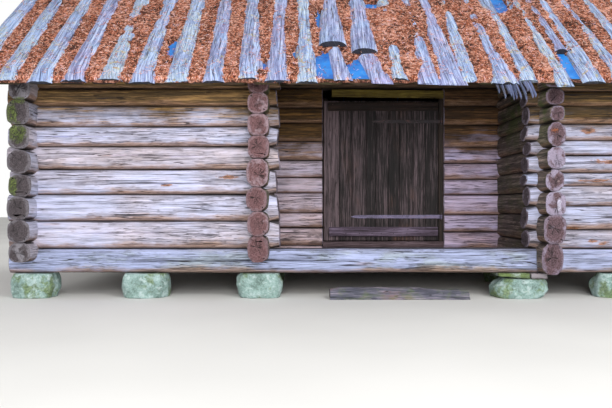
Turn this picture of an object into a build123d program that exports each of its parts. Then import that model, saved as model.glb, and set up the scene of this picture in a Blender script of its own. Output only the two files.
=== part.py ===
"""Log storehouse cabin with a doorway set back in a porch and a roof of split logs.

Millimetres. The front looks along -Y, the long walls run along X and +Z is up. The origin lies
on the ground under the middle of the building.
"""
from build123d import *
from math import cos, radians, sin, tan
import os

# Plan of the log walls
log_thickness = 190          # flat face to flat face of a hewn wall log along X
cross_thickness = 165        # the same for the logs along Y, of the side and porch walls
side_wall_x = 3440           # middle of each side wall
porch_wall_x = 1318          # middle of each wall beside the porch
front_wall_y = 2005          # middle of the front and back walls, either side of the ridge
porch_depth = 1180           # face of the front walls to face of the door wall
corner_stub = 88             # logs along X end this far past the wall that they cross
corner_end = 190             # logs along Y end this far past the wall that they cross
end_wander = [0, 14, -9, 18, 6, -12, 11]   # uneven log ends, one after the other

# Log sections
bed_share = 0.62             # part of the thickness that is flat bed, where log lies on log
shoulder = 44                # height of the bevelled edge between bed and face
shortest_course = 90         # a last course under this height joins the one below

# Heights
sill_bottom = 225            # ground to the underside of the lowest logs
sill_log = 225               # height of the sill log that also closes the porch
swing_gap = 12               # from the door leaf's top to the eave log that it passes under
eave_log_height = 182        # top of the front walls to the roof, at their face
purlin_seat_depth = 16       # how deep the purlin lies in the top of the door wall
ridge_seat_depth = 34        # how deep the ridge log lies in the gables

# Course heights from the bottom up, repeated until the wall is full
front_right_courses = [225, 170, 220, 183, 121, 159, 137, 152, 167, 131, 120]
front_left_courses = [250, 245, 229, 210, 183, 192, 160, 106]
door_left_courses = [179, 195, 164, 220, 168, 191, 210, 201, 167, 218]
door_right_courses = [147, 180, 189, 221, 168, 180, 179, 242, 209, 198]
above_door_courses = [192, 190, 205, 185, 190]
back_courses = [225, 215, 230, 208, 222, 212, 226, 206]
side_courses = [175, 204, 204, 199, 226, 217, 218]
porch_left_courses = [237, 217, 217, 257, 199, 200, 178]
porch_right_courses = [283, 248, 208, 206, 196, 222, 148, 157, 117, 190, 205]

# Roof
roof_pitch = 40.5            # degrees
eave_overhang = 360
gable_overhang = 335         # roof past the outer face of each side wall
purlin_overhang = 255        # roof logs past the outer face of each side wall
purlin_radius = 85
purlin_y = 825               # middle purlins, above the door wall
ridge_log_radius = 95
under_slab_width = 262
under_slab_thickness = 45
under_slab_bevel = 40        # the lower slabs narrow by this much on each side
under_slab_pitch = 276
sheet_thickness = 1
cover_slab_width = 214
cover_slab_height = 58
cover_slab_pitch = 290
slab_profile = [(0.5, 0), (0.39, 0.58), (0.15, 1)]    # half section, shares of width and height
cover_slab_reach = 58        # upper slabs past the lower ones at the eave
cover_slab_steps = [14, -22, 30, 4, -14, 38, -4, 20, -30, 8, 26, -10]    # uneven eave ends

# Upper slabs in the middle of the roof: place along X and width
middle_slabs = [(-1700, 190), (-1400, 220), (-1140, 212), (-900, 180), (-645, 230), (-357, 226),
                (-75, 180), (130, 160), (330, 200), (530, 160), (770, 196), (995, 186),
                (1240, 150), (1420, 136), (1570, 150), (1770, 186), (2010, 210)]
# Broken ones: the slab near this place ends this far down the slope
broken_slabs = {-645: 2690, -357: 2830, 1420: 2776}
# Lower pieces under them: place of the upper end, distance down the slope, width, lean in degrees
lower_pieces = [(-640, 2520, 140, 5), (-375, 2560, 172, 8)]
lower_piece_height = 32
ridge_board_width = 210
ridge_board_thickness = 32

# Floors
threshold_top = 450
threshold_height = 66
floor_drop = 20              # floor boards lie this far under the threshold's top
floor_board = 32
joist_width = 130
joist_height = 140
joist_pocket = 80            # joists reach this far into the walls
middle_joists = 5            # joists behind the porch
middle_joists_inset = 85     # the outer two lie this far inside the porch walls
outer_joists = 3             # joists on each side
outer_joists_inset = 310     # the outer two lie this far from the walls beside them
porch_floor_top = 345
porch_board = 42
porch_bearer_height = 78

# Doorway, seen from the front
leaf_left = -681
left_gap = 14                # leaf to the log ends on its left
right_gap = 6                # leaf to the hinge post
head_gap = 30                # leaf to the lintel board
jamb_width = 56
stop_width = 55
lintel_height = 110
lintel_slip = 14             # the lintel board hangs lower at its right end by this much
lintel_thickness = 48
lintel_left_gap = 100

# Door leaf
leaf_thickness = 40
leaf_height = 1538
leaf_lift = 10               # threshold to the leaf
leaf_proud = 5               # the leaf's face stands this far in front of the jamb
board_gap = 2.5
board_widths = [165, 147, 153, 107, 140, 120, 157, 122, 143]
ledge_thickness = 30
ledge_overlap = 8            # the ledges end this far inside the leaf's right edge
upper_ledge_inset = 44       # left end of the upper ledge from the leaf's left edge
upper_ledge_height = 91
upper_ledge_drop = 22        # from the leaf's top to the upper ledge
lower_ledge_inset = 55
lower_ledge_height = 99
lower_ledge_rise = 50        # from the leaf's bottom to the lower ledge
strap_thickness = 6
strap_width = 40
upper_strap_length = 758     # tip to pin
upper_strap_drop = 230       # from the leaf's top to the strap's middle
lower_strap_length = 989
lower_strap_rise = 263       # from the leaf's bottom to the strap's middle
pin_radius = 8
pin_clearance = 0.3
pin_offset = 32              # pin to the leaf's right edge
pin_rise = 22                # the pin stands this far above the strap's eye
pintle_shank = 110
pintle_shank_height = 14

# Stones and step
stone_depth = 330
stone_belly = 0.45           # share of its height at which a boulder is widest
stone_taper = (6, 22)        # degrees that its sides lean in, below and above that height
corner_stone_inset = 40      # corner stones from the middle of the side walls
left_stone_offset = 1055     # stones between the corners, from the middle of a porch wall
right_stone_offset = 690
back_stone_offset = 180
stone_width = 430
low_stone_height = 176
low_stone_width = 500
low_stone_depth = 400
low_stone_reach = 10         # the low boulder's right end past the middle of the porch wall
slab_width = 288
slab_offset = 162            # right end of the flat slab from the middle of the porch wall
slab_proud = 25              # stone slab in front of the wall face
shim_width = 142
shim_offset = 9              # right end of the shim from the middle of the porch wall
shim_proud = 30              # shim block in front of the wall face
block_inset = 20             # slab and shim end this far in front of the wall's inner face
step_length = 1261
step_offset = 16             # the step's middle is this far left of the doorway's
step_width = 215
step_height = 107
step_front = 140             # front edge of the step before the face of the front walls

# Values that follow from the ones above
half_log = log_thickness / 2
half_cross = cross_thickness / 2
tilt = radians(roof_pitch)
front_face = -front_wall_y - half_log
front_inner = -front_wall_y + half_log
door_wall_face = front_face + porch_depth
door_wall_y = door_wall_face + half_log
door_wall_inner = door_wall_face + log_thickness
sill_top = sill_bottom + sill_log
cross_wall_bottom = sill_bottom + sill_log / 2
porch_inner_x = porch_wall_x - half_cross
leaf_bottom = threshold_top + leaf_lift
leaf_top = leaf_bottom + leaf_height
leaf_right = leaf_left + sum(board_widths)
opening_left = leaf_left - left_gap
opening_right = leaf_right + right_gap + jamb_width
lintel_low = leaf_top + head_gap
door_wall_courses_top = lintel_low + lintel_height
wall_top = leaf_top + swing_gap
roof_rest = wall_top + eave_log_height
roof_half_length = side_wall_x + half_cross + gable_overhang
purlin_half_length = side_wall_x + half_cross + purlin_overhang
roof_apex = roof_rest - front_face * tan(tilt)
slope_length = (eave_overhang - front_face) / cos(tilt)
purlin_z = roof_apex - purlin_y * tan(tilt) - purlin_radius / cos(tilt)
ridge_log_z = roof_apex - ridge_log_radius / cos(tilt)
porch_top = purlin_z - purlin_radius + purlin_seat_depth
gable_top = ridge_log_z - ridge_log_radius + ridge_seat_depth
floor_top = threshold_top - floor_drop
joist_top = floor_top - floor_board
leaf_face = door_wall_face - leaf_proud
pin_x = leaf_right + pin_offset
upper_strap_z = leaf_top - upper_strap_drop
lower_strap_z = leaf_bottom + lower_strap_rise
pin_y = leaf_face - strap_thickness - pin_radius - pin_clearance
eye_radius = strap_thickness + pin_radius + pin_clearance


def box_between(x_range, y_range, z_range):
    """A box that fills three ranges."""
    middle = [(low + high) / 2 for low, high in (x_range, y_range, z_range)]
    size = [high - low for low, high in (x_range, y_range, z_range)]
    return Pos(*middle) * Box(*size)


def spaced(low, high, count):
    """Evenly spaced places from low to high."""
    return [low + (high - low) * index / (count - 1) for index in range(count)]


def course_levels(bottom, top, heights):
    """Bed heights of a wall: the courses repeat until the top is reached."""
    levels = [bottom]
    step = 0
    while levels[-1] + heights[step % len(heights)] < top - shortest_course:
        levels.append(levels[-1] + heights[step % len(heights)])
        step += 1
    return levels + [top]


def log_section(thickness, low, high):
    """Section of a hewn log: flat faces, flat beds and bevelled shoulders between them."""
    half, bed = thickness / 2, thickness * bed_share / 2
    rise = min(shoulder, (high - low) / 3)
    return make_face(Polyline((-bed, low), (bed, low), (half, low + rise), (half, high - rise),
                              (bed, high), (-bed, high), (-half, high - rise),
                              (-half, low + rise), close=True))


def log_along_x(x_range, y, low, high):
    """One wall log along X."""
    plane = Plane(origin=(x_range[0], y, 0), x_dir=(0, 1, 0), z_dir=(1, 0, 0))
    section = plane * log_section(log_thickness, low, high)
    return extrude(section, x_range[1] - x_range[0], dir=(1, 0, 0))


def log_along_y(x, y_range, low, high):
    """One wall log along Y."""
    plane = Plane(origin=(x, y_range[1], 0), x_dir=(1, 0, 0), z_dir=(0, -1, 0))
    section = plane * log_section(cross_thickness, low, high)
    return extrude(section, y_range[1] - y_range[0], dir=(0, -1, 0))


def join(solids):
    """One shape from solids that touch."""
    return solids[0].fuse(*solids[1:]) if len(solids) > 1 else solids[0]


def stack_along_x(x_range, y, levels, wander=(1, 1)):
    """Courses of logs along X; wander tells which ends are uneven."""
    logs = []
    for course, (low, high) in enumerate(zip(levels, levels[1:])):
        start = x_range[0] - wander[0] * end_wander[course % len(end_wander)]
        end = x_range[1] + wander[1] * end_wander[(course + 3) % len(end_wander)]
        logs.append(log_along_x((start, end), y, low, high))
    return join(logs)


def stack_along_y(x, y_range, levels, wander=(1, 1)):
    """Courses of logs along Y; wander tells which ends are uneven."""
    logs = []
    for course, (low, high) in enumerate(zip(levels, levels[1:])):
        start = y_range[0] - wander[0] * end_wander[(course + 2) % len(end_wander)]
        end = y_range[1] + wander[1] * end_wander[(course + 5) % len(end_wander)]
        logs.append(log_along_y(x, (start, end), low, high))
    return join(logs)


def cross_bands(levels):
    """Heights at which the logs along Y pass through a corner: half of each log."""
    return [((3 * low + high) / 4, (low + 3 * high) / 4) for low, high in zip(levels, levels[1:])]


def bands_between(bands, bottom, top):
    """The heights that the bands leave free, which the logs along X fill."""
    edges = [bottom] + [z for band in bands for z in band] + [top]
    return [(low, high) for low, high in zip(edges[::2], edges[1::2]) if high > low]


def notch(wall, places, bands, along_x):
    """Cut a wall at each crossing, where the logs of the other wall pass through it."""
    reach_x = half_cross if along_x else cross_thickness
    reach_y = log_thickness if along_x else half_log
    cuts = [box_between((x - reach_x, x + reach_x), (y - reach_y, y + reach_y), band)
            for x, y in places for band in bands]
    return wall.cut(*cuts)


def under_roof():
    """Everything under the roof, to cut wall tops to its slope."""
    reach = 2 * front_wall_y
    low = roof_apex - reach * tan(tilt)
    outline = Polyline((-reach, low - wall_top), (reach, low - wall_top), (reach, low),
                       (0, roof_apex), (-reach, low), close=True)
    plane = Plane(origin=(-roof_half_length, 0, 0), x_dir=(0, 1, 0), z_dir=(1, 0, 0))
    return extrude(plane * make_face(outline), 2 * roof_half_length, dir=(1, 0, 0))


def cut_to_slope(log_work):
    """The part of some log work that lies under the roof."""
    return join(log_work.intersect(under_roof()).solids())


def purlin_seat(y):
    """Open notch in a sloping wall top that holds a round purlin."""
    radius = purlin_radius + pin_clearance
    side = 1 if y > 0 else -1
    trunk = Pos(0, y, purlin_z) * Rot(0, 90, 0) * Cylinder(radius, 2 * roof_half_length)
    opening = Pos(0, y, purlin_z) * Rot(-side * roof_pitch, 0, 0) * Pos(0, 0, radius) * Box(
        2 * roof_half_length, 2 * radius, 2 * radius)
    return trunk.fuse(opening)


def ridge_seat():
    """Round seat for the ridge log."""
    radius = ridge_log_radius + pin_clearance
    return Pos(0, 0, ridge_log_z) * Rot(0, 90, 0) * Cylinder(radius, 2 * roof_half_length)


def joist_ends(xs, y_range):
    """The joists at the given places, as they enter the walls."""
    return [box_between((x - joist_width / 2, x + joist_width / 2), y_range,
                        (joist_top - joist_height, joist_top)) for x in xs]


# Levels of the walls, and the bands in which the logs of crossing walls pass each other
front_left_levels = course_levels(sill_top, wall_top, front_left_courses)
front_right_levels = course_levels(sill_bottom, wall_top, front_right_courses)
back_levels = course_levels(sill_bottom, wall_top, back_courses)
door_left_levels = course_levels(sill_bottom, door_wall_courses_top, door_left_courses)
door_right_levels = course_levels(sill_bottom, door_wall_courses_top, door_right_courses)
above_door_levels = course_levels(door_wall_courses_top, porch_top, above_door_courses)
side_low_levels = course_levels(cross_wall_bottom, wall_top, side_courses)
side_high_levels = course_levels(wall_top, gable_top, side_courses)
porch_left_low = course_levels(cross_wall_bottom, wall_top, porch_left_courses)
porch_right_low = course_levels(sill_bottom, wall_top, porch_right_courses)
porch_high = course_levels(wall_top, porch_top, porch_left_courses)

side_bands = cross_bands(side_low_levels)
porch_left_bands = cross_bands(porch_left_low)
porch_right_bands = cross_bands(porch_right_low)
porch_high_bands = cross_bands(porch_high)

outer_end = side_wall_x + half_cross + corner_stub
porch_stub = porch_inner_x - corner_stub
inner_stub = porch_wall_x + half_cross + corner_stub
cross_end = front_wall_y + half_log + corner_end
porch_back_end = door_wall_inner + corner_stub
middle_reach = porch_inner_x - middle_joists_inset
middle_xs = spaced(-middle_reach, middle_reach, middle_joists)
outer_xs = spaced(porch_wall_x + half_cross + outer_joists_inset,
                  side_wall_x - half_cross - outer_joists_inset, outer_joists)
joists = (joist_ends(outer_xs + [-x for x in outer_xs],
                     (front_inner - joist_pocket, -front_inner + joist_pocket))
          + joist_ends(middle_xs,
                       (door_wall_inner - joist_pocket, -front_inner + joist_pocket)))


def front_sill():
    """The sill under the left front wall, which runs on across the porch."""
    sill = log_along_x((-outer_end, porch_inner_x), -front_wall_y, sill_bottom, sill_top)
    sill = notch(sill, [(-side_wall_x, -front_wall_y)], side_bands, True)
    sill = notch(sill, [(-porch_wall_x, -front_wall_y)], porch_left_bands, True)
    return sill.cut(*joists)


def front_wall_left():
    """Left front wall, from the sill to the eave log."""
    wall = stack_along_x((-outer_end, -porch_stub), -front_wall_y, front_left_levels)
    wall = notch(wall, [(-side_wall_x, -front_wall_y)], side_bands, True)
    return notch(wall, [(-porch_wall_x, -front_wall_y)], porch_left_bands, True)


def front_wall_right():
    """Right front wall; its lowest log stops at the porch, where the long sill ends."""
    wall = stack_along_x((porch_stub, outer_end), -front_wall_y, front_right_levels)
    wall = notch(wall, [(side_wall_x, -front_wall_y)], side_bands, True)
    wall = notch(wall, [(porch_wall_x, -front_wall_y)], porch_right_bands, True)
    sill_room = box_between((0, porch_inner_x), (front_face - 10, front_inner + 10), (0, sill_top))
    return wall.cut(sill_room, *joists)


def back_wall():
    """Back wall in one run, from corner to corner."""
    wall = stack_along_x((-outer_end, outer_end), front_wall_y, back_levels)
    corners = [(-side_wall_x, front_wall_y), (side_wall_x, front_wall_y)]
    return notch(wall, corners, side_bands, True).cut(*joists)


def door_wall_left():
    """Logs between the left porch wall and the doorway."""
    wall = stack_along_x((-inner_stub, opening_left), door_wall_y, door_left_levels, (1, 0))
    bands = porch_left_bands + porch_high_bands
    return notch(wall, [(-porch_wall_x, door_wall_y)], bands, True).cut(*joists)


def door_wall_right():
    """Logs between the doorway and the right porch wall."""
    wall = stack_along_x((opening_right, inner_stub), door_wall_y, door_right_levels, (0, 1))
    bands = porch_right_bands + porch_high_bands
    return notch(wall, [(porch_wall_x, door_wall_y)], bands, True).cut(*joists)


def door_sill():
    """Sill log under the doorway, between the walls beside it."""
    sill = log_along_x((opening_left, opening_right), door_wall_y, sill_bottom,
                       threshold_top - threshold_height)
    return sill.cut(*joists)


def door_wall_top():
    """Whole logs over the doorway, up to the purlin that they carry."""
    wall = stack_along_x((-inner_stub, inner_stub), door_wall_y, above_door_levels)
    places = [(-porch_wall_x, door_wall_y), (porch_wall_x, door_wall_y)]
    return notch(wall, places, porch_high_bands, True).cut(purlin_seat(-purlin_y))


def side_wall(side):
    """Side wall and gable: full courses, then courses cut to the roof's slope."""
    x = side * side_wall_x
    low = stack_along_y(x, (-cross_end, cross_end), side_low_levels)
    free = bands_between(side_bands, cross_wall_bottom, wall_top)
    low = notch(low, [(x, -front_wall_y), (x, front_wall_y)], free, False)
    high = stack_along_y(x, (front_inner, -front_inner), side_high_levels, (0, 0))
    high = cut_to_slope(high)
    seats = [purlin_seat(-purlin_y), purlin_seat(purlin_y), ridge_seat()]
    return low.fuse(high).cut(*seats)


def porch_wall(side):
    """Wall beside the porch, from the front corner to the door wall."""
    x = side * porch_wall_x
    levels = porch_left_low if side < 0 else porch_right_low
    bands = porch_left_bands if side < 0 else porch_right_bands
    free = bands_between(bands, levels[0], wall_top)
    free_high = bands_between(porch_high_bands, wall_top, porch_top)
    low = stack_along_y(x, (-cross_end, porch_back_end), levels)
    low = notch(low, [(x, -front_wall_y), (x, door_wall_y)], free, False)
    high = stack_along_y(x, (front_inner, porch_back_end), porch_high, (0, 1))
    high = notch(high, [(x, door_wall_y)], free_high, False)
    high = cut_to_slope(high)
    return low.fuse(high).cut(purlin_seat(-purlin_y))


def eave_log(side):
    """Log along the top of a long wall, bevelled under the roof."""
    high = roof_rest + log_thickness * tan(tilt)
    log = log_along_x((-purlin_half_length, purlin_half_length), side * front_wall_y,
                      wall_top, high)
    return cut_to_slope(log)


def round_log(radius, y, z):
    """Round roof log along X."""
    return Pos(0, y, z) * Rot(0, 90, 0) * Cylinder(radius, 2 * purlin_half_length)


def slope_plane(x, distance, lift):
    """Plane square to the front slope, at a distance from the ridge and above its underside."""
    y = -distance * cos(tilt) - lift * sin(tilt)
    z = roof_apex - distance * sin(tilt) + lift * cos(tilt)
    return Plane(origin=(x, y, z), x_dir=(1, 0, 0), z_dir=(0, -cos(tilt), -sin(tilt)))


def split_log(x, width, height, span, lean=0):
    """Slab with its round side up on the sheet; span tells where on the slope it starts and ends."""
    plane = slope_plane(x, span[0], under_slab_thickness + sheet_thickness)
    side = [(x_share * width, z_share * height) for x_share, z_share in slab_profile]
    outline = Polyline(*side, *[(-u, v) for u, v in reversed(side)], close=True)
    slab = extrude(plane * make_face(outline), span[1] - span[0], dir=plane.z_dir)
    return slab.rotate(Axis(plane.origin, plane.y_dir), lean)


def run_places(start, end, pitch):
    """Evenly spaced places from start to end, about a pitch apart."""
    return spaced(start, end, round((end - start) / pitch) + 1)


def under_slabs():
    """Lower layer of the front slope, flat side up and bevelled below."""
    wide, low = under_slab_width / 2, under_slab_width / 2 - under_slab_bevel
    outline = make_face(Polyline((-low, 0), (low, 0), (wide, under_slab_thickness),
                                 (-wide, under_slab_thickness), close=True))
    end = roof_half_length - wide
    return [extrude(slope_plane(x, 0, 0) * outline, slope_length, dir=(0, -cos(tilt), -sin(tilt)))
            for x in run_places(-end, end, under_slab_pitch)]


def roof_sheet():
    """Waterproof sheet between the two layers of the front slope."""
    outline = Rectangle(2 * roof_half_length - 40, sheet_thickness)
    face = slope_plane(0, 0, under_slab_thickness + sheet_thickness / 2) * outline
    return [extrude(face, slope_length - 12, dir=(0, -cos(tilt), -sin(tilt)))]


def cover_slabs(broken):
    """Upper layer of one slope with uneven eave ends; broken slabs show the pieces under them."""
    left, right = middle_slabs[0][0], middle_slabs[-1][0]
    end = roof_half_length - cover_slab_width / 2
    slabs = [(x, cover_slab_width) for x in run_places(-end, left, cover_slab_pitch)[:-1]]
    slabs += middle_slabs
    slabs += [(x, cover_slab_width) for x in run_places(right, end, cover_slab_pitch)[1:]]
    lower = [(x, width, (start, slope_length + cover_slab_reach), lean)
             for x, start, width, lean in lower_pieces if broken]
    pieces = [split_log(x, width, lower_piece_height, span, lean) for x, width, span, lean in lower]
    room = [split_log(x, width + 2, lower_piece_height + 1, span, lean)
            for x, width, span, lean in lower]
    for index, (x, width) in enumerate(slabs):
        step = cover_slab_steps[index % len(cover_slab_steps)]
        reach = slope_length + cover_slab_reach + step
        if broken and x in broken_slabs:
            reach = broken_slabs[x]
        slab = split_log(x, width, cover_slab_height, (0, reach))
        pieces.append(slab.cut(*room) if broken and x in broken_slabs else slab)
    return pieces


def ridge_boards():
    """Two boards in a V over the ridge."""
    lift = under_slab_thickness + sheet_thickness + cover_slab_height
    points = []
    for height in (lift, lift + ridge_board_thickness):
        y = ridge_board_width * cos(tilt) + height * sin(tilt)
        z = roof_apex - ridge_board_width * sin(tilt) + height * cos(tilt)
        points.append([(-y, z), (0, roof_apex + height / cos(tilt)), (y, z)])
    outline = Polyline(*points[0], *reversed(points[1]), close=True)
    plane = Plane(origin=(-roof_half_length, 0, 0), x_dir=(0, 1, 0), z_dir=(1, 0, 0))
    return extrude(plane * make_face(outline), 2 * roof_half_length, dir=(1, 0, 0))


def behind(solids):
    """The same pieces on the back slope."""
    return [Rot(0, 0, 180) * solid for solid in solids]


def stone(x, y, top, width=stone_width, depth=stone_depth):
    """Boulder, widest below its middle, with a flat top."""
    w, d = width / 2, depth / 2
    outline = Polyline((-w, -d * 0.35), (-w * 0.55, -d), (w * 0.62, -d), (w, -d * 0.4),
                       (w * 0.94, d * 0.55), (w * 0.4, d), (-w * 0.6, d), (-w, d * 0.45), close=True)
    belly = stone_belly * top
    face = Pos(x, y, belly) * make_face(outline)
    upper = extrude(face, top - belly, taper=stone_taper[1])
    lower = extrude(face, belly, dir=(0, 0, -1), taper=stone_taper[0])
    return upper.fuse(lower)


def front_stones():
    """Stones under the front walls; the one at the porch's right corner is lower."""
    corner = side_wall_x - corner_stone_inset
    places = [-corner, -porch_wall_x - left_stone_offset, -porch_wall_x,
              porch_wall_x + right_stone_offset, corner]
    stones = [stone(x, -front_wall_y, sill_bottom) for x in places]
    stones.append(stone(porch_wall_x + low_stone_reach - low_stone_width / 2, -front_wall_y,
                        low_stone_height, low_stone_width, low_stone_depth))
    return stones


def back_stones():
    """Stones under the back wall."""
    corner = side_wall_x - corner_stone_inset
    middle = porch_wall_x - back_stone_offset
    return [stone(x, front_wall_y, sill_bottom) for x in (-corner, -middle, middle, corner)]


def inner_stones():
    """Stones under the ends of the door wall."""
    return [stone(x, door_wall_y, sill_bottom) for x in (-porch_wall_x, porch_wall_x)]


def slab_stone():
    """Flat stone between the low boulder and the long sill."""
    right = porch_wall_x - slab_offset
    return box_between((right - slab_width, right), (front_face - slab_proud,
                                                     front_inner - block_inset),
                       (low_stone_height, sill_bottom))


def shim_block():
    """Wooden block under the right porch wall."""
    right = porch_wall_x - shim_offset
    return box_between((right - shim_width, right), (front_face - shim_proud,
                                                     front_inner - block_inset),
                       (low_stone_height, sill_bottom))


def step_log():
    """Split log lying in front of the porch as a step."""
    outline = Curve() + [Line((-step_width / 2, 0), (step_width / 2, 0)),
                         ThreePointArc((step_width / 2, 0), (0, step_height),
                                       (-step_width / 2, 0))]
    left = (opening_left + opening_right - step_length) / 2 - step_offset
    plane = Plane(origin=(left, front_face - step_front + step_width / 2, 0),
                  x_dir=(0, 1, 0), z_dir=(1, 0, 0))
    return extrude(plane * make_face(outline), step_length, dir=(1, 0, 0))


def floor_boards(x_range, y_range):
    """Board floor of one part of the room, cut round the log ends that stick into it."""
    floor = box_between(x_range, y_range, (joist_top, floor_top))
    stubs = [box_between((x - half_cross, x + half_cross), (door_wall_face, porch_back_end + 20),
                         (0, wall_top)) for x in (-porch_wall_x, porch_wall_x)]
    stubs.append(box_between((-inner_stub - 20, inner_stub + 20),
                             (door_wall_face, door_wall_inner), (0, wall_top)))
    return floor.cut(*stubs)


def porch_floor():
    """Boards of the porch, behind the sill."""
    return box_between((-porch_inner_x, porch_inner_x), (front_inner, door_wall_face),
                       (porch_floor_top - porch_board, porch_floor_top))


def porch_bearers():
    """Two logs under the porch boards, from wall to wall."""
    top = porch_floor_top - porch_board
    return [box_between((-porch_inner_x, porch_inner_x), (y, y + joist_width),
                        (top - porch_bearer_height, top))
            for y in (front_inner, door_wall_face - joist_width)]


def jamb_right():
    """Hinge post of the doorway."""
    return box_between((opening_right - jamb_width, opening_right),
                       (door_wall_face, door_wall_inner), (threshold_top, lintel_low - lintel_slip))


def jamb_left():
    """Post behind the leaf's free edge, which the leaf closes against."""
    return box_between((opening_left, opening_left + stop_width),
                       (leaf_face + leaf_thickness + leaf_proud, door_wall_inner),
                       (threshold_top, lintel_low))


def lintel_board():
    """Board over the doorway, a little lower at its right end."""
    left = opening_left + lintel_left_gap
    top = door_wall_courses_top
    outline = Polyline((left, lintel_low), (opening_right, lintel_low - lintel_slip),
                       (opening_right, top), (left, top), close=True)
    plane = Plane(origin=(0, door_wall_face, 0), x_dir=(1, 0, 0), z_dir=(0, -1, 0))
    return extrude(plane * make_face(outline), lintel_thickness, dir=(0, 1, 0))


def threshold():
    """Hewn plank under the door, notched over the ends of the joists."""
    plank = box_between((opening_left, opening_right), (door_wall_face - 12, door_wall_inner),
                        (threshold_top - threshold_height, threshold_top))
    return plank.cut(*joists)


def door_boards():
    """Upright boards of the leaf."""
    boards = []
    low = leaf_left
    for width in board_widths:
        boards.append(box_between((low, low + width - board_gap),
                                  (leaf_face, leaf_face + leaf_thickness), (leaf_bottom, leaf_top)))
        low += width
    backing = box_between((leaf_left, leaf_right - board_gap),
                          (leaf_face + leaf_thickness / 2, leaf_face + leaf_thickness),
                          (leaf_bottom, leaf_top))
    return join(boards + [backing])


def ledge(inset, low, height):
    """Cross plank nailed to the face of the boards."""
    return box_between((leaf_left + inset, leaf_right - ledge_overlap),
                       (leaf_face - ledge_thickness, leaf_face), (low, low + height))


def strap(length, z):
    """Strap hinge: a pointed iron strap that ends in an eye round the pin."""
    left = pin_x - length
    tip = 1.5 * strap_width
    outline = Polyline((left, z), (left + tip, z - strap_width / 2), (pin_x, z - strap_width / 2),
                       (pin_x, z + strap_width / 2), (left + tip, z + strap_width / 2), close=True)
    plane = Plane(origin=(0, leaf_face, 0), x_dir=(1, 0, 0), z_dir=(0, -1, 0))
    blade = extrude(plane * make_face(outline), strap_thickness, dir=(0, -1, 0))
    eye = Pos(pin_x, pin_y, z) * Cylinder(eye_radius, strap_width)
    bore = Pos(pin_x, pin_y, z) * Cylinder(pin_radius + pin_clearance, 2 * strap_width)
    return blade.fuse(eye).cut(bore)


def pintle(z):
    """Iron pin on a shank driven into the hinge post."""
    low = z - strap_width / 2 - pin_clearance
    height = strap_width + pin_clearance + pin_rise
    pin = Pos(pin_x, pin_y, low + height / 2) * Cylinder(pin_radius, height)
    shank = box_between((pin_x - pin_radius, pin_x + pin_radius),
                        (pin_y - pin_radius, door_wall_face + pintle_shank),
                        (low - pintle_shank_height, low))
    return pin.fuse(shank)


def pieces():
    """Every sub-part by its name."""
    side_room = (porch_wall_x + half_cross, side_wall_x - half_cross)
    front_room = (front_inner, door_wall_inner)
    hinge_post = jamb_right().cut(pintle(upper_strap_z), pintle(lower_strap_z))
    return {
        "front_stones": front_stones(),
        "back_stones": back_stones(),
        "inner_stones": inner_stones(),
        "slab_stone": slab_stone(),
        "shim_block": shim_block(),
        "step_log": step_log(),
        "front_sill": front_sill(),
        "front_wall_left": front_wall_left(),
        "front_wall_right": front_wall_right(),
        "back_wall": back_wall(),
        "side_wall_left": side_wall(-1),
        "side_wall_right": side_wall(1),
        "porch_wall_left": porch_wall(-1),
        "porch_wall_right": porch_wall(1),
        "door_wall_left": door_wall_left(),
        "door_wall_right": door_wall_right(),
        "door_wall_top": door_wall_top(),
        "door_sill": door_sill(),
        "floor_joists": joists,
        "floor_left": floor_boards((-side_room[1], -side_room[0]), front_room),
        "floor_right": floor_boards(side_room, front_room),
        "floor_back": floor_boards((-side_room[1], side_room[1]), (door_wall_inner, -front_inner)),
        "porch_floor": porch_floor(),
        "porch_bearers": porch_bearers(),
        "threshold": threshold(),
        "jamb_left": jamb_left(),
        "jamb_right": hinge_post,
        "lintel_board": lintel_board(),
        "door_boards": door_boards(),
        "door_ledge_upper": ledge(upper_ledge_inset,
                                  leaf_top - upper_ledge_drop - upper_ledge_height,
                                  upper_ledge_height),
        "door_ledge_lower": ledge(lower_ledge_inset, leaf_bottom + lower_ledge_rise,
                                  lower_ledge_height),
        "strap_upper": strap(upper_strap_length, upper_strap_z),
        "strap_lower": strap(lower_strap_length, lower_strap_z),
        "pintle_upper": pintle(upper_strap_z),
        "pintle_lower": pintle(lower_strap_z),
        "eave_log_front": eave_log(-1),
        "eave_log_back": eave_log(1),
        "purlin_front": round_log(purlin_radius, -purlin_y, purlin_z),
        "purlin_back": round_log(purlin_radius, purlin_y, purlin_z),
        "ridge_log": round_log(ridge_log_radius, 0, ridge_log_z),
        "under_slabs_front": under_slabs(),
        "under_slabs_back": behind(under_slabs()),
        "roof_sheet_front": roof_sheet(),
        "roof_sheet_back": behind(roof_sheet()),
        "cover_slabs_front": cover_slabs(True),
        "cover_slabs_back": behind(cover_slabs(False)),
        "ridge_boards": ridge_boards(),
    }


def write(name, shape):
    """Save one sub-part, which may be several solids that do not touch."""
    if isinstance(shape, list):
        solids = [solid for part in shape for solid in part.solids()]
        shape = Compound(children=solids)
    export_step(shape, os.path.join("parts", name + ".step"))


os.makedirs("parts", exist_ok=True)
for name, shape in pieces().items():
    write(name, shape)
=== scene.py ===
# %% [markdown]
# # A log storehouse, dressed over its CAD frame
# The cabin stands on boulders and has a porch with a plank door set back in it. This lesson
# gives every wall its own hewn logs, lays two layers of split logs with a sheet between them on
# the roof, and hangs the door on iron straps. All lengths are metres in the frame's own axes:
# X along the front, -Y towards the viewer, Z up.

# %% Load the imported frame
import bmesh
import bpy
import random
from contextlib import contextmanager
from math import cos, hypot, pi, radians, sin, tan
from mathutils import Matrix, Vector, noise


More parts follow.
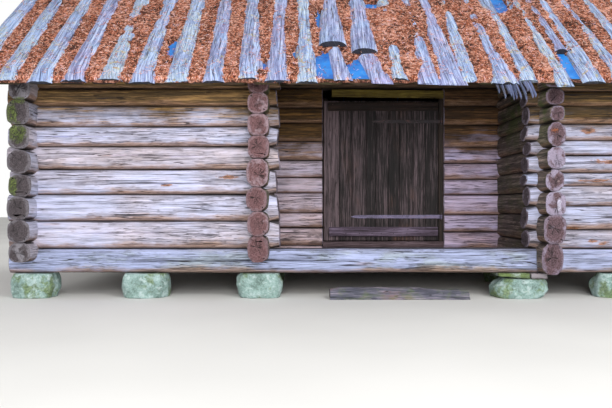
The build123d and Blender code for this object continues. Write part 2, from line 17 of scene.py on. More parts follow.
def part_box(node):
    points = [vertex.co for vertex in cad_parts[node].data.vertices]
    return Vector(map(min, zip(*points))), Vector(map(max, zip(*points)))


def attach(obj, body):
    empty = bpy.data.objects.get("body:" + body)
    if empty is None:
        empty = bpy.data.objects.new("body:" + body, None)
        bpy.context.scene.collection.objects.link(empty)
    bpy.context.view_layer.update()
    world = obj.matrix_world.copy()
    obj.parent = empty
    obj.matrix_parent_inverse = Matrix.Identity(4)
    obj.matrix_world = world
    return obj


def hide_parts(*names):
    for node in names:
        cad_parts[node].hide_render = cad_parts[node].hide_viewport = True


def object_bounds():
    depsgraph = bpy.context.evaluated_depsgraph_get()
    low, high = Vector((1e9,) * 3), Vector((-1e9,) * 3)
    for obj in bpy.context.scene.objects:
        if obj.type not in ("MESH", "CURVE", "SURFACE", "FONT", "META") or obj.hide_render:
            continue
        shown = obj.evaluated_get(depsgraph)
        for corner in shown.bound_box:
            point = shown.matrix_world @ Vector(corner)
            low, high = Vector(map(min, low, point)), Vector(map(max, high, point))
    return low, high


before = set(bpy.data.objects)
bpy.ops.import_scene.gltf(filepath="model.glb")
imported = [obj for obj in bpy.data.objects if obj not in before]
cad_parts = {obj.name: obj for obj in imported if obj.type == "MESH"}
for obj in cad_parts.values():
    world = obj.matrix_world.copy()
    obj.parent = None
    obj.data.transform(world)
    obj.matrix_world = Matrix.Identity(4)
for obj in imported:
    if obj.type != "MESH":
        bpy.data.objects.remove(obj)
cad_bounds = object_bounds()
print("frame:", len(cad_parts), "nodes")

# %% [markdown]
# ## Camera, light and floor
# The front is seen square on, from a low standpoint left of the doorway, so the camera isn't
# turned at all and a small lens shift places the picture. Soft light comes from the right and
# above, as under an open sky, and a pale floor keeps the shadow.

# %% Camera
picture_width, sensor_width, focal_pixels = 612, 36, 640
camera_data = bpy.data.cameras.new("view")
camera = bpy.data.objects.new("view", camera_data)
bpy.context.scene.collection.objects.link(camera)
camera.location = (-0.945, -7.960, 0.840)
camera.rotation_euler = (pi / 2, 0, 0)
camera_data.sensor_width = sensor_width
camera_data.lens = focal_pixels / picture_width * sensor_width
camera_data.shift_x = 6 / picture_width
camera_data.shift_y = 2 / picture_width
bpy.context.scene.camera = camera
print("lens:", round(camera_data.lens, 1), "mm")

# %% [markdown]
# ## Words for finishes
# A finish is a small network of nodes. A Wire stands for one socket, so that sums and products
# of values can be written as on paper, and each sum adds its Math node.

# %% Wires and finishes
def paint(red, green, blue):
    """A colour as it is named on a screen, 0 to 255, made linear."""
    def linear(value):
        value /= 255
        return value / 12.92 if value <= 0.04045 else ((value + 0.055) / 1.055) ** 2.4
    return (linear(red), linear(green), linear(blue), 1)


class Wire:
    """One socket of a finish; arithmetic with it adds Math nodes."""

    def __init__(self, finish, socket):
        self.finish = finish
        self.socket = socket

    def math(self, operation, *values, clamp=False):
        settings = {"operation": operation, "use_clamp": clamp}
        return self.finish.node("ShaderNodeMath", settings, dict(enumerate(values)))

    def __add__(self, other): return self.math("ADD", self, other)
    def __radd__(self, other): return self.math("ADD", other, self)
    def __sub__(self, other): return self.math("SUBTRACT", self, other)
    def __rsub__(self, other): return self.math("SUBTRACT", other, self)
    def __mul__(self, other): return self.math("MULTIPLY", self, other)
    def __rmul__(self, other): return self.math("MULTIPLY", other, self)
    def __truediv__(self, other): return self.math("DIVIDE", self, other)
    def __pow__(self, other): return self.math("POWER", self, other)
    def __neg__(self): return self.math("MULTIPLY", self, -1)
    def __abs__(self): return self.math("ABSOLUTE", self)

    def clamp(self):
        return self.math("ADD", self, 0, clamp=True)

    def sine(self):
        return self.math("SINE", self)

    def rise(self, low, high):
        """0 below low, 1 above high, and a soft step between them."""
        settings = {"interpolation_type": "SMOOTHSTEP"}
        return self.finish.node("ShaderNodeMapRange", settings,
                                {"Value": self, "From Min": low, "From Max": high})

    def below(self, low, high):
        return 1 - self.rise(low, high)


class Finish:
    """A material that is built up from nodes."""

    def __init__(self, name, roughness=0.85):
        self.material = bpy.data.materials.new(name)
        self.material.use_nodes = True
        self.tree = self.material.node_tree
        self.shader = self.tree.nodes["Principled BSDF"]
        self.shader.inputs["Roughness"].default_value = roughness

    def node(self, kind, settings={}, values={}, out=0):
        """Any node: its settings first, then its sockets. Gives back one output."""
        node = self.tree.nodes.new(kind)
        for name, value in settings.items():
            if name == "stops":
                ramp = node.color_ramp
                while len(ramp.elements) < len(value):
                    ramp.elements.new(0.5)
                for element, (place, colour) in zip(ramp.elements, value):
                    element.position = place
                    element.color = colour
            else:
                setattr(node, name, value)
        for name, value in values.items():
            socket = node.inputs[name]
            if isinstance(value, Wire):
                self.tree.links.new(value.socket, socket)
            else:
                socket.default_value = value
        return Wire(self, node.outputs[out])

    def place(self):
        return self.node("ShaderNodeTexCoord", out="Object")

    def grain(self):
        """The map that runs along and round each piece of wood, in metres."""
        return self.node("ShaderNodeUVMap", {"uv_map": "grain"})

    def tone(self):
        """The number between 0 and 1 that each log or board has of its own."""
        return self.node("ShaderNodeAttribute", {"attribute_name": "tone"}, out="Fac")

    def edge(self):
        """How far a point of a log lies from its middle: -1 at the lower bed, 1 at the upper."""
        return self.node("ShaderNodeAttribute", {"attribute_name": "edge"}, out="Fac")

    def axes(self, vector):
        return [self.node("ShaderNodeSeparateXYZ", {}, {0: vector}, out=i) for i in range(3)]

    def stretch(self, vector, by, shift=0):
        """A vector times three factors, moved by one number to start elsewhere in a pattern."""
        longer = self.node("ShaderNodeVectorMath", {"operation": "MULTIPLY"}, {0: vector, 1: by})
        if not isinstance(shift, Wire):
            return longer
        return self.node("ShaderNodeVectorMath", {"operation": "ADD"}, {0: longer, 1: shift})

    def cloud(self, vector, scale, detail=4, rough=0.55, twist=0):
        return self.node("ShaderNodeTexNoise", {}, {"Vector": vector, "Scale": scale,
                         "Detail": detail, "Roughness": rough, "Distortion": twist})

    def cells(self, vector, scale):
        return self.node("ShaderNodeTexVoronoi", {}, {"Vector": vector, "Scale": scale})

    def ramp(self, value, *stops):
        return self.node("ShaderNodeValToRGB", {"stops": stops}, {0: value})

    def blend(self, share, first, second, kind="MIX"):
        """Two colours mixed by a share."""
        return self.node("ShaderNodeMix", {"data_type": "RGBA", "blend_type": kind},
                         {0: share, 6: first, 7: second}, out=2)

    def finish(self, colour, height=None, depth=None, roughness=None):
        """Feed the colour, the fine relief and the roughness to the shader."""
        self.tree.links.new(colour.socket, self.shader.inputs["Base Color"])
        if roughness is not None:
            self.tree.links.new(roughness.socket, self.shader.inputs["Roughness"])
        if height is not None:
            relief = self.node("ShaderNodeBump", {}, {"Strength": 1.0, "Distance": depth,
                                                      "Height": height})
            self.tree.links.new(relief.socket, self.shader.inputs["Normal"])
        return self.material


# %% [markdown]
# ## Floor, sky and lamps
# The floor and the sky look white to the camera and in reflections, while the light that the
# sky sends stays at the level at which a colour shows as it was mixed.

# %% Floor and light
def pale_floor():
    finish = Finish("pale_floor", 0.9)
    shade = finish.cloud(finish.place(), 0.6, 2)
    return finish.finish(finish.ramp(shade, (0.3, paint(226, 225, 222)),
                                     (0.7, paint(234, 233, 230))))


bpy.ops.object.select_all(action="DESELECT")
bpy.ops.mesh.primitive_plane_add(size=80)
floor = bpy.context.object
floor.name = "floor"
floor.data.materials.append(pale_floor())

world = bpy.data.worlds.new("sky")
world.use_nodes = True
bpy.context.scene.world = world
sky = world.node_tree
background = sky.nodes["Background"]
seen = sky.nodes.new("ShaderNodeLightPath")
either = sky.nodes.new("ShaderNodeMath")
either.operation = "MAXIMUM"
sky.links.new(seen.outputs["Is Camera Ray"], either.inputs[0])
sky.links.new(seen.outputs["Is Glossy Ray"], either.inputs[1])
level = sky.nodes.new("ShaderNodeMapRange")
level.inputs["To Min"].default_value = 0.48
level.inputs["To Max"].default_value = 1.0
sky.links.new(either.outputs[0], level.inputs["Value"])
sky.links.new(level.outputs[0], background.inputs["Strength"])
background.inputs["Color"].default_value = (1, 1, 1, 1)


def soft_lamp(name, place, aim, size, energy):
    """A square lamp that looks from its place to its aim."""
    data = bpy.data.lights.new(name, "AREA")
    data.size = size
    data.energy = energy
    lamp = bpy.data.objects.new(name, data)
    lamp.location = place
    lamp.rotation_euler = (Vector(aim) - Vector(place)).to_track_quat("-Z", "Y").to_euler()
    bpy.context.scene.collection.objects.link(lamp)


soft_lamp("key", (4.5, -10.0, 7.0), (0, -2, 1.2), 3.0, 450)
soft_lamp("low", (-0.5, -11.5, 3.0), (0, -1, 1.2), 4.0, 645)
soft_lamp("fill", (-7.0, -8.0, 4.0), (0, -1, 1.2), 6.0, 90)
soft_lamp("back", (2.0, 10.0, 6.0), (0, 1, 1.5), 6.0, 700)
bpy.context.scene.view_settings.view_transform = "Standard"
print("four lamps and a white sky")

# %% [markdown]
# ## Tools for shaping
# Everything is shaped as by hand: one piece alone is selected, its edges or faces are picked by
# where they lie, and an edit operator works on them. Finished pieces are joined per wall.

# %% Selecting and editing
def alone(piece):
    bpy.ops.object.select_all(action="DESELECT")
    piece.select_set(True)
    bpy.context.view_layer.objects.active = piece


@contextmanager
def editing(piece, mode="EDGE"):
    alone(piece)
    bpy.ops.object.mode_set(mode="EDIT")
    bpy.ops.mesh.select_mode(type=mode)
    yield
    bpy.ops.object.mode_set(mode="OBJECT")


def pick(piece, kind, test):
    """In edit mode, select only the edges, faces or verts that pass a test."""
    bpy.ops.mesh.select_all(action="DESELECT")
    mesh = bmesh.from_edit_mesh(piece.data)
    for part in getattr(mesh, kind):
        if test(part):
            part.select_set(True)
    bmesh.update_edit_mesh(piece.data)


def runs(axis):
    """A test for edges that run along an axis."""
    def test(edge):
        line = edge.verts[1].co - edge.verts[0].co
        return abs(line[axis]) > 0.98 * line.length
    return test


def fresh(add, sized=None, **settings):
    """A new primitive, selected alone, with its place, turn and size in its mesh."""
    bpy.ops.object.select_all(action="DESELECT")
    add(**settings)
    piece = bpy.context.object
    if sized:
        piece.scale = sized
    bpy.ops.object.transform_apply(location=True, rotation=True, scale=True)
    return piece


def solid_box(name, low, high):
    """A cube primitive at its size and place."""
    low, high = Vector(low), Vector(high)
    piece = fresh(bpy.ops.mesh.primitive_cube_add, size=1, location=(low + high) / 2,
                  scale=high - low)
    piece.name = name
    return piece


def joined(name, pieces):
    """Several pieces as one mesh."""
    bpy.ops.object.select_all(action="DESELECT")
    for piece in pieces:
        piece.select_set(True)
    bpy.context.view_layer.objects.active = pieces[0]
    if len(pieces) > 1:
        bpy.ops.object.join()
    pieces[0].name = name
    pieces[0].data.name = name
    return pieces[0]


def cut_above(piece, point, normal):
    """Cut off what lies on the far side of a plane and close the cut."""
    with editing(piece):
        bpy.ops.mesh.select_all(action="SELECT")
        bpy.ops.mesh.bisect(plane_co=point, plane_no=normal, use_fill=True, clear_outer=True)


def give_tone(piece, value):
    """Every vertex of a piece gets the same number, which its finish reads."""
    layer = piece.data.attributes.new("tone", "FLOAT", "POINT")
    layer.data.foreach_set("value", [value] * len(piece.data.vertices))


def grain_layer(mesh):
    """The mesh's only map, which its finish reads."""
    if "grain" not in mesh.uv_layers:
        mesh.uv_layers.new(name="grain")
    for index in range(len(mesh.uv_layers) - 1, -1, -1):
        if mesh.uv_layers[index].name != "grain":
            mesh.uv_layers.remove(mesh.uv_layers[index])
    return mesh.uv_layers["grain"]


def dress(piece, *finishes):
    """Give a piece these finishes and no others."""
    piece.data.materials.clear()
    for finish in finishes:
        piece.data.materials.append(finish)


def place_piece(piece, node, body="cabin"):
    """Put a finished piece on its body, in place of its CAD node."""
    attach(piece, body)
    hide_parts(node)


# %% [markdown]
# ## Uneven surfaces
# Hewn and split wood has no flat face. It could be sculpted by hand; here a Displace modifier
# moves every face by a noise that is drawn out along the grain, so that one helper serves logs,
# boards and stones and gives the same lumps on each run.

# %% Rough surfaces
rough_frames = {}
rough_fields = {}


def rough_frame(stretch):
    """An empty whose size stretches the noise of a Displace modifier."""
    if stretch not in rough_frames:
        empty = bpy.data.objects.new("stretch", None)
        empty.scale = stretch
        bpy.context.scene.collection.objects.link(empty)
        rough_frames[stretch] = empty
        bpy.context.view_layer.update()
    return rough_frames[stretch]


def rough_field(depth):
    if depth not in rough_fields:
        field = bpy.data.textures.new("lumps", "CLOUDS")
        field.noise_scale = 1.0
        field.noise_depth = depth
        rough_fields[depth] = field
    return rough_fields[depth]


def roughen(piece, stretch, strength, depth=2, middle=0.5):
    """Move the surface in and out by a noise that is stretched along the wood."""
    alone(piece)
    lumps = piece.modifiers.new("lumps", "DISPLACE")
    lumps.texture = rough_field(depth)
    lumps.texture_coords = "OBJECT"
    lumps.texture_coords_object = rough_frame(stretch)
    lumps.strength = strength
    lumps.mid_level = middle
    bpy.ops.object.modifier_apply(modifier="lumps")


def smooth(piece, angle=40):
    alone(piece)
    bpy.ops.object.shade_smooth_by_angle(angle=radians(angle))


# %% [markdown]
# ## Weathered logs
# Logs that rain and sun reach have turned silver grey, with fine streaks along the grain,
# drying cracks, knots and rusty stains. Under the eaves they kept the brown of old pine. One
# finish does both: height above the ground tells where the grey gives way to brown, and a map
# along each log carries the grain.

# %% Log finishes
def scaled(colour, by):
    """A screen colour made darker or lighter."""
    return paint(*[min(255, channel * by) for channel in colour])


def from_spot(x, z, spot):
    """How far a point lies from the middle of a spot: its edge is at 1."""
    return (((x - spot[0]) / spot[2]) ** 2 + ((z - spot[1]) / spot[3]) ** 2) ** 0.5


def log_finish(name, brown_from, grey=(194, 190, 210), warmth=0.4, moss=0.0, dark=0.0, stains=(),
               damp_below=None, brown=(118, 84, 50)):
    """Old logs: grey below, brown above brown_from, moss, damp, painted shade and rusty stains as
    given.
    """
    wood = Finish(name, 0.86)
    place, grain, tone = wood.place(), wood.grain(), wood.tone()
    edge = wood.edge()
    x, y, z = wood.axes(place)
    shift = tone * 37
    fine = wood.cloud(wood.stretch(grain, (2.0, 62, 1), shift), 3.0, 6, 0.68)
    streak = wood.cloud(wood.stretch(grain, (0.55, 17, 1), shift), 2.2, 4, 0.62, 0.2)
    patch = wood.cloud(wood.stretch(place, (0.9, 0.9, 2.2)), 1.9, 5, 0.65)
    mixed = fine * 0.5 + streak * 0.5

    def shades(base, low=0.42, high=1.16):
        """A ramp of one colour from its dark to its light."""
        return wood.ramp(mixed, (0.34, scaled(base, low)), (0.43, scaled(base, 0.78)),
                         (0.51, scaled(base, 1.0)), (0.64, scaled(base, high)))

    warm = tuple(grey[i] + (6, -14, -40)[i] for i in range(3))
    colour = wood.blend(((tone - 0.5) * 0.5 + (patch - 0.5) * 1.9 + warmth).clamp(),
                        shades(grey), shades(warm))
    level = z + (patch - 0.5) * 0.55 + (streak - 0.5) * 0.45 + (tone - 0.5) * 0.16
    colour = wood.blend(level.rise(brown_from - 0.13, brown_from + 0.15), colour,
                        shades(brown, 0.24, 1.9))
    if damp_below:
        damp = (z + (patch - 0.5) * 0.2).below(damp_below - 0.05, damp_below + 0.03)
        colour = wood.blend(damp * 0.75, colour, wood.blend(
            patch.rise(0.47, 0.60) * 0.6, shades((164, 174, 210)), shades((160, 178, 172))))
    # the lower part of each log face turns darker brown: partly the unweathered brown of the
    # underside, partly painted shade under the rounded shoulder
    lower = (streak * 1.1 - edge + (patch - 0.5) * 1.6).rise(0.92, 1.42)
    colour = wood.blend(lower * 0.80, colour, wood.ramp(fine, (0.36, paint(72, 48, 34)),
                                                        (0.50, paint(150, 112, 84)),
                                                        (0.64, paint(190, 158, 136))))
    knots = wood.cells(wood.stretch(grain, (1.2, 6.5, 1), shift), 1.0)
    core = knots.below(0.025, 0.055)
    halo = knots.below(0.05, 0.17) * streak.rise(0.38, 0.6)
    colour = wood.blend(halo * 0.4, colour, paint(172, 128, 94))
    colour = wood.blend(core * 0.85, colour, paint(62, 42, 34))
    torn = wood.cloud(wood.stretch(place, (1, 1, 2.5)), 22, 4, 0.7)
    for spot in stains:
        far = from_spot(x, z, spot) + (torn - 0.5) * 2.2
        colour = wood.blend(far.below(0.55, 1.05) * fine.rise(0.34, 0.50) * 0.9, colour,
                            wood.ramp(fine, (0.42, paint(96, 58, 38)), (0.60, paint(196, 128, 66))))
        colour = wood.blend(far.below(0.05, 0.30) * 0.85, colour, paint(60, 38, 30))
    check = wood.cloud(wood.stretch(grain, (0.9, 26, 1), shift), 2.6, 3, 0.55)
    check = abs(check - 0.5).below(0.004, 0.014) * patch.rise(0.44, 0.54)
    colour = wood.blend(check * 0.7, colour, paint(44, 34, 36))
    if moss:
        green = wood.cloud(place, 2.6, 5, 0.65).rise(0.46, 0.62) * (0.6 + z.rise(1.40, 1.70)) * moss
        colour = wood.blend(green, colour, wood.ramp(fine, (0.35, paint(46, 62, 20)),
                                                     (0.65, paint(118, 130, 76))))
    # painted shade: dark darkens the whole log, and about half as much where the log stands out in
    # front of the front wall
    if dark:
        outside = (-y).rise(2.06, 2.16)
        colour = wood.blend((1 - outside * 0.55) * dark, colour, paint(36, 28, 25))
    line = wood.cloud(wood.stretch(grain, (0.28, 9.5, 1), shift), 3.0, 2, 0.4)
    crack = abs(line - 0.5).below(0.004, 0.013) * wood.cloud(
        wood.stretch(grain, (1.1, 3, 1), shift), 2.0, 2).rise(0.47, 0.53)
    colour = wood.blend(crack * 0.85, colour, paint(50, 40, 42))
    # painted shade: the upper and lower edges of every log go dark, standing in for the shade in
    # the groove between the courses
    colour = wood.blend(abs(edge).rise(0.88, 0.99) * 0.85, colour, paint(38, 26, 22))
    height = fine * 0.5 + streak * 0.8 - crack * 1.6 - check * 0.9 - core * 0.6
    return wood.finish(colour, height, 0.009)


def end_finish(name, pale, middle, deep, paler=0.0, stains=(), green_at=()):
    """Sawn and hewn log ends: a dark heart, rings, cracks from the heart and a pale rim."""
    wood = Finish(name, 0.9)
    place, grain, tone = wood.place(), wood.grain(), wood.tone()
    x, _, z = wood.axes(place)
    u, v, _ = wood.axes(grain)
    lumps = wood.cloud(place, 16, 4, 0.65)
    broad = wood.cloud(wood.stretch(place, (1, 1, 1), tone * 9), 9, 3, 0.5)
    fine = wood.cloud(place, 85, 4, 0.7)
    square = (abs(u) ** 3 + abs(v) ** 3) ** (1 / 3)
    across, up = u - (tone - 0.5) * 0.4, v + (tone - 0.5) * 0.5
    reach = (across ** 2 + up ** 2) ** 0.5 + 0.001
    spread = wood.node("ShaderNodeCombineXYZ", {},
                       {0: across / reach, 1: up / reach, 2: tone * 30})
    waves = reach * 34 + lumps * 9
    rings = waves.sine() * 0.5 + 0.5
    split = abs(wood.cloud(spread, 1.9, 2) - 0.5).below(0.006, 0.030) * (
        reach + (lumps - 0.5) * 0.8).below(0.35, 0.75)
    rim = (square + (lumps - 0.5) * 0.9).rise(0.82, 1.02)
    colour = wood.blend((rings * 0.20 + (fine - 0.5) * 2.2 + 0.32).clamp(), deep, middle)
    light = (broad * 0.7 + lumps * 0.3 + (tone - 0.5) * 0.30 + paler).rise(0.52, 0.62)
    colour = wood.blend(light * (0.35 + fine * 0.7), colour, pale)
    colour = wood.blend(rim * (0.25 + tone * 0.5), colour, wood.blend(
        fine.below(0.40, 0.52) * 0.6, pale, paint(96, 84, 96)))
    colour = wood.blend(split * 0.9, colour, paint(26, 18, 20))
    for spot in stains:
        far = from_spot(x, z, spot) + (lumps - 0.5) * 2.4
        colour = wood.blend(far.below(0.5, 1.0) * fine.rise(0.38, 0.54) * 0.9, colour,
                            paint(*spot[4]))
    for spot in green_at:
        far = from_spot(x, z, spot) + (lumps - 0.5) * 2.2
        colour = wood.blend(far.below(0.6, 1.3) * fine.rise(0.36, 0.5) * 0.9, colour, wood.ramp(
            fine, (0.40, paint(38, 46, 20)), (0.66, paint(108, 124, 58))))
    height = rings * 0.25 + fine * 0.5 + lumps * 0.9 - split * 1.8
    return wood.finish(colour, height, 0.012)


# Spots on the front: X, Z, half width and half height; those on log ends have a colour too
rust_stains = [(1.690, 1.530, 0.070, 0.040), (1.900, 1.245, 0.170, 0.026),
               (1.760, 1.075, 0.170, 0.016), (1.720, 0.520, 0.050, 0.020),
               (1.560, 0.640, 0.080, 0.014), (1.830, 0.500, 0.050, 0.018),
               (-1.600, 1.105, 0.100, 0.026), (-2.160, 1.030, 0.050, 0.016)]
column_stains = [(1.312, 1.510, 0.040, 0.024, (140, 80, 48)),
                 (1.352, 0.860, 0.024, 0.060, (206, 202, 222)),
                 (1.350, 1.060, 0.016, 0.012, (210, 180, 180))]
corner_moss = [(-3.45, 1.480, 0.080, 0.085), (-3.50, 1.660, 0.050, 0.12),
               (-3.50, 1.010, 0.045, 0.10), (-3.44, 1.78, 0.08, 0.03)]
left_logs = log_finish("weathered_left_logs", 1.59, (189, 192, 220), 0.38, stains=rust_stains,
                       damp_below=0.45, brown=(108, 84, 52))
right_logs = log_finish("weathered_right_logs", 1.60, (178, 184, 214), 0.36, stains=rust_stains,
                        damp_below=0.45, brown=(86, 66, 38))
# the porch logs get a lighter grey than the front walls as painted light, to brighten the shaded
# porch
porch_left_logs = log_finish("porch_logs_left", 1.44, (212, 200, 222), 0.34, brown=(92, 66, 34))
porch_right_logs = log_finish("porch_logs_right", 1.42, (192, 182, 218), 0.34, brown=(88, 62, 38))
# dark=0.40 is painted shade on the logs beside the porch
shaded_logs = log_finish("shaded_porch_side_logs", 0.2, moss=0.62, dark=0.40,
                         brown=(118, 104, 98))
other_logs = log_finish("weathered_logs", 2.15, (184, 186, 208), 0.38, brown=(122, 98, 78))
sill_logs = log_finish("sill_log", 5.0, (168, 174, 210), 0.26, moss=0.12, damp_below=0.45)
# dark=0.50 is painted shade on the logs under the eaves and over the door
eave_logs = log_finish("eave_log_wood", 1.0, moss=0.30, dark=0.50, brown=(80, 64, 42))
dark_ends = end_finish("dark_log_ends", paint(164, 154, 176), paint(124, 100, 110),
                       paint(56, 34, 34), stains=column_stains)
red_ends = end_finish("reddish_log_ends", paint(158, 136, 144), paint(136, 102, 106),
                      paint(72, 42, 42), -0.06)
mossy_ends = end_finish("mossy_log_ends", paint(146, 142, 150), paint(96, 88, 92),
                        paint(46, 38, 42), -0.03, green_at=corner_moss)
stub_ends = end_finish("stub_log_ends", paint(158, 148, 166), paint(112, 100, 112),
                       paint(60, 46, 50), -0.04)
print("log finishes:", len(bpy.data.materials))

# %% [markdown]
# ## One hewn log
# A log starts as a box. Bevelling its four long edges gives the rounded shoulders that meet in
# a groove between the courses, which the finish darkens with painted shade, and cutting it into
# short lengths lets it wander. The faces are bulged a little, the ends get a rounded rim, and
# some logs crack along their face.

# %% The log maker
end_slope = 0.75  # a face that looks this much along its log belongs to the log's end


def round_perimeter(across, height, half_across, half_height):
    """How far round its section a point of a log lies, from the middle of its near face."""
    a, b = half_across, half_height
    if abs(across) / a >= abs(height) / b:
        return height if across < 0 else 2 * a + 2 * b - height
    return (b + across + a) if height > 0 else -(b + across + a)


def wood_map(piece, along, tone, low, high):
    """The map along and round a log, and its ends measured from their middle."""
    across = 1 - along
    mesh = piece.data
    middle = (low + high) / 2
    half = (high - low) / 2
    layer = grain_layer(mesh)
    for face in mesh.polygons:
        is_end = abs(face.normal[along]) > end_slope
        for corner in face.loop_indices:
            point = mesh.vertices[mesh.loops[corner].vertex_index].co - middle
            if is_end:
                layer.data[corner].uv = (point[across] / half[across], point[2] / half[2])
            else:
                round_by = round_perimeter(point[across], point[2], half[across], half[2])
                layer.data[corner].uv = (point[along] + 9 * tone, round_by)


def hewn_log(low, high, along, chance, ring=0.075, corner=0.048, cracked=False):
    """One wall log between two corners of its box, along X (0) or Y (1)."""
    low, high = Vector(low), Vector(high)
    across = 1 - along
    tone = chance.random()
    rim, bulge = 0.008, 0.014
    inner_low, inner_high = low.copy(), high.copy()
    inner_low[along] += rim
    inner_high[along] -= rim
    piece = solid_box("log", inner_low, inner_high)
    corner = min(corner, (high[2] - low[2]) * 0.34)
    length = inner_high[along] - inner_low[along]
    crack_z = low[2] + (high[2] - low[2]) * chance.uniform(0.42, 0.58)
    cracked = cracked and high[2] - low[2] > 0.12
    with editing(piece):
        pick(piece, "edges", runs(along))
        bpy.ops.mesh.bevel(offset=corner, segments=3, profile=0.58, affect="EDGES")
        pick(piece, "edges", runs(2))
        bpy.ops.mesh.subdivide(number_cuts=4)
        if cracked:
            mesh = bmesh.from_edit_mesh(piece.data)
            for side in (inner_low[along], inner_high[along]):
                row = sorted((v for v in mesh.verts
                              if abs(v.co[across] - low[across]) < 1e-4
                              and abs(v.co[along] - side) < 1e-4), key=lambda v: v.co.z)
                heights = (row[0].co.z * 0.5 + crack_z * 0.5 - 0.0025, crack_z - 0.005, crack_z,
                           crack_z + 0.005)
                for vertex, z in zip(row[1:-1], heights):
                    vertex.co.z = z
            bmesh.update_edit_mesh(piece.data)
        pick(piece, "edges", runs(across))
        bpy.ops.mesh.subdivide(number_cuts=1)
        pick(piece, "edges", runs(along))
        bpy.ops.mesh.subdivide(number_cuts=max(1, round(length / ring) - 1))
        bpy.ops.mesh.select_mode(type="FACE")
        pick(piece, "faces", lambda face: abs(face.normal[along]) > 0.9)
        for thickness, depth in ((0.012, rim), (min(0.028, (high[2] - low[2]) * 0.12), -0.003)):
            bpy.ops.mesh.inset(thickness=thickness, depth=depth, use_individual=True,
                               use_even_offset=False)
    middle = (low + high) / 2
    half = (high - low) / 2
    edge = piece.data.attributes.new("edge", "FLOAT", "POINT")
    edge.data.foreach_set("value", [(v.co.z - middle[2]) / half[2] for v in piece.data.vertices])
    start, span = chance.uniform(0.05, 0.45), chance.uniform(0.25, 0.5)
    for vertex in piece.data.vertices:
        co = vertex.co
        share = (co[2] - middle[2]) / half[2]
        side = 1 if co[across] > middle[across] else -1
        if abs(co[across] - middle[across]) > 0.7 * half[across]:
            co[across] += side * bulge * max(0, 1 - share * share)
        if cracked and abs(co[2] - crack_z) < 0.006 and side < 0:
            way = (co[along] - low[along]) / (high[along] - low[along])
            open_by = max(0, 1 - abs((way - start - span / 2) / (span / 2))) ** 0.5
            if abs(co[2] - crack_z) < 0.001:
                co[across] += 0.016 * open_by + 0.001
            co[2] += 0.014 * noise.noise((co[along] * 1.4, 7 * tone, 0))
    give_tone(piece, tone)
    wood_map(piece, along, tone, low, high)
    return piece


# %% [markdown]
# ## The courses of each wall
# The logs follow the same courses as the CAD walls, so each wall's heights are written down
# once more, in millimetres from the bottom up, and repeated until the wall is full.

# %% Sizes and courses
pitch = radians(40.5)
side_wall_x, porch_wall_x, wall_y = 3.440, 1.318, 2.005
half_log, half_cross = 0.095, 0.0825
porch_depth, lintel_height = 1.180, 0.110
front_face, front_inner = -wall_y - half_log, -wall_y + half_log
door_face = front_face + porch_depth
door_wall_y, door_inner = door_face + half_log, door_face + 2 * half_log
sill_bottom, sill_top, wall_top = 0.225, 0.450, 2.010
eave_log_height, eave_overhang, gable_overhang, purlin_overhang = 0.182, 0.360, 0.335, 0.255
roof_rest = wall_top + eave_log_height
apex = roof_rest - front_face * tan(pitch)
slope_length = (eave_overhang - front_face) / cos(pitch)
roof_half = side_wall_x + half_cross + gable_overhang
log_half_run = side_wall_x + half_cross + purlin_overhang
cross_bottom = (sill_bottom + sill_top) / 2
lintel_low = 2.028
door_courses_top = lintel_low + lintel_height
purlin_y, purlin_radius, purlin_seat = 0.825, 0.085, 0.016
ridge_radius, ridge_seat = 0.095, 0.034
purlin_z = apex - purlin_y * tan(pitch) - purlin_radius / cos(pitch)
porch_top = purlin_z - purlin_radius + purlin_seat
ridge_z = apex - ridge_radius / cos(pitch)
gable_top = ridge_z - ridge_radius + ridge_seat
opening_left, opening_right = -0.695, 0.635
end_out, stub_out = 0.190, 0.088  # how far ends stand out in front and past a crossing wall
wander = [0, 0.014, -0.009, 0.018, 0.006, -0.012, 0.011]  # and how unevenly, course by course


def courses(bottom, top, heights):
    """Pairs of lower and upper edge for each log of a wall."""
    levels, step = [bottom], 0
    while levels[-1] + heights[step % len(heights)] / 1000 < top - 0.090:
        levels.append(levels[-1] + heights[step % len(heights)] / 1000)
        step += 1
    return list(zip(levels, levels[1:] + [top]))


front_left = courses(sill_top, wall_top, [250, 245, 229, 210, 183, 192, 160, 106])
front_right = courses(sill_bottom, wall_top,
                      [225, 170, 220, 183, 121, 159, 137, 152, 167, 131, 120])
back = courses(sill_bottom, wall_top, [225, 215, 230, 208, 222, 212, 226, 206])
side_heights = [175, 204, 204, 199, 226, 217, 218]
porch_left_heights = [237, 217, 217, 257, 199, 200, 178]
door_left = courses(sill_bottom, door_courses_top,
                    [179, 195, 164, 220, 168, 191, 210, 201, 167, 218])
door_right = courses(sill_bottom, door_courses_top,
                     [147, 180, 189, 221, 168, 180, 179, 242, 209, 198])
above_door = courses(door_courses_top, porch_top, [192, 190, 205, 185, 190])
side_low = courses(cross_bottom, wall_top, side_heights)
side_high = courses(wall_top, gable_top, side_heights)
porch_left = courses(cross_bottom, wall_top, porch_left_heights)
porch_right = courses(sill_bottom, wall_top,
                      [283, 248, 208, 206, 196, 222, 148, 157, 117, 190, 205])
porch_high = courses(wall_top, porch_top, porch_left_heights)
stub_end = porch_wall_x - half_cross - stub_out
inner_stub = porch_wall_x + half_cross + stub_out
corner_end = side_wall_x + half_cross + stub_out
cross_end = wall_y + half_log + end_out
print("courses:", len(front_left), len(front_right), len(back), len(side_low), len(side_high))

# %% Stacking logs
crack_share = 0.5  # of the logs along X


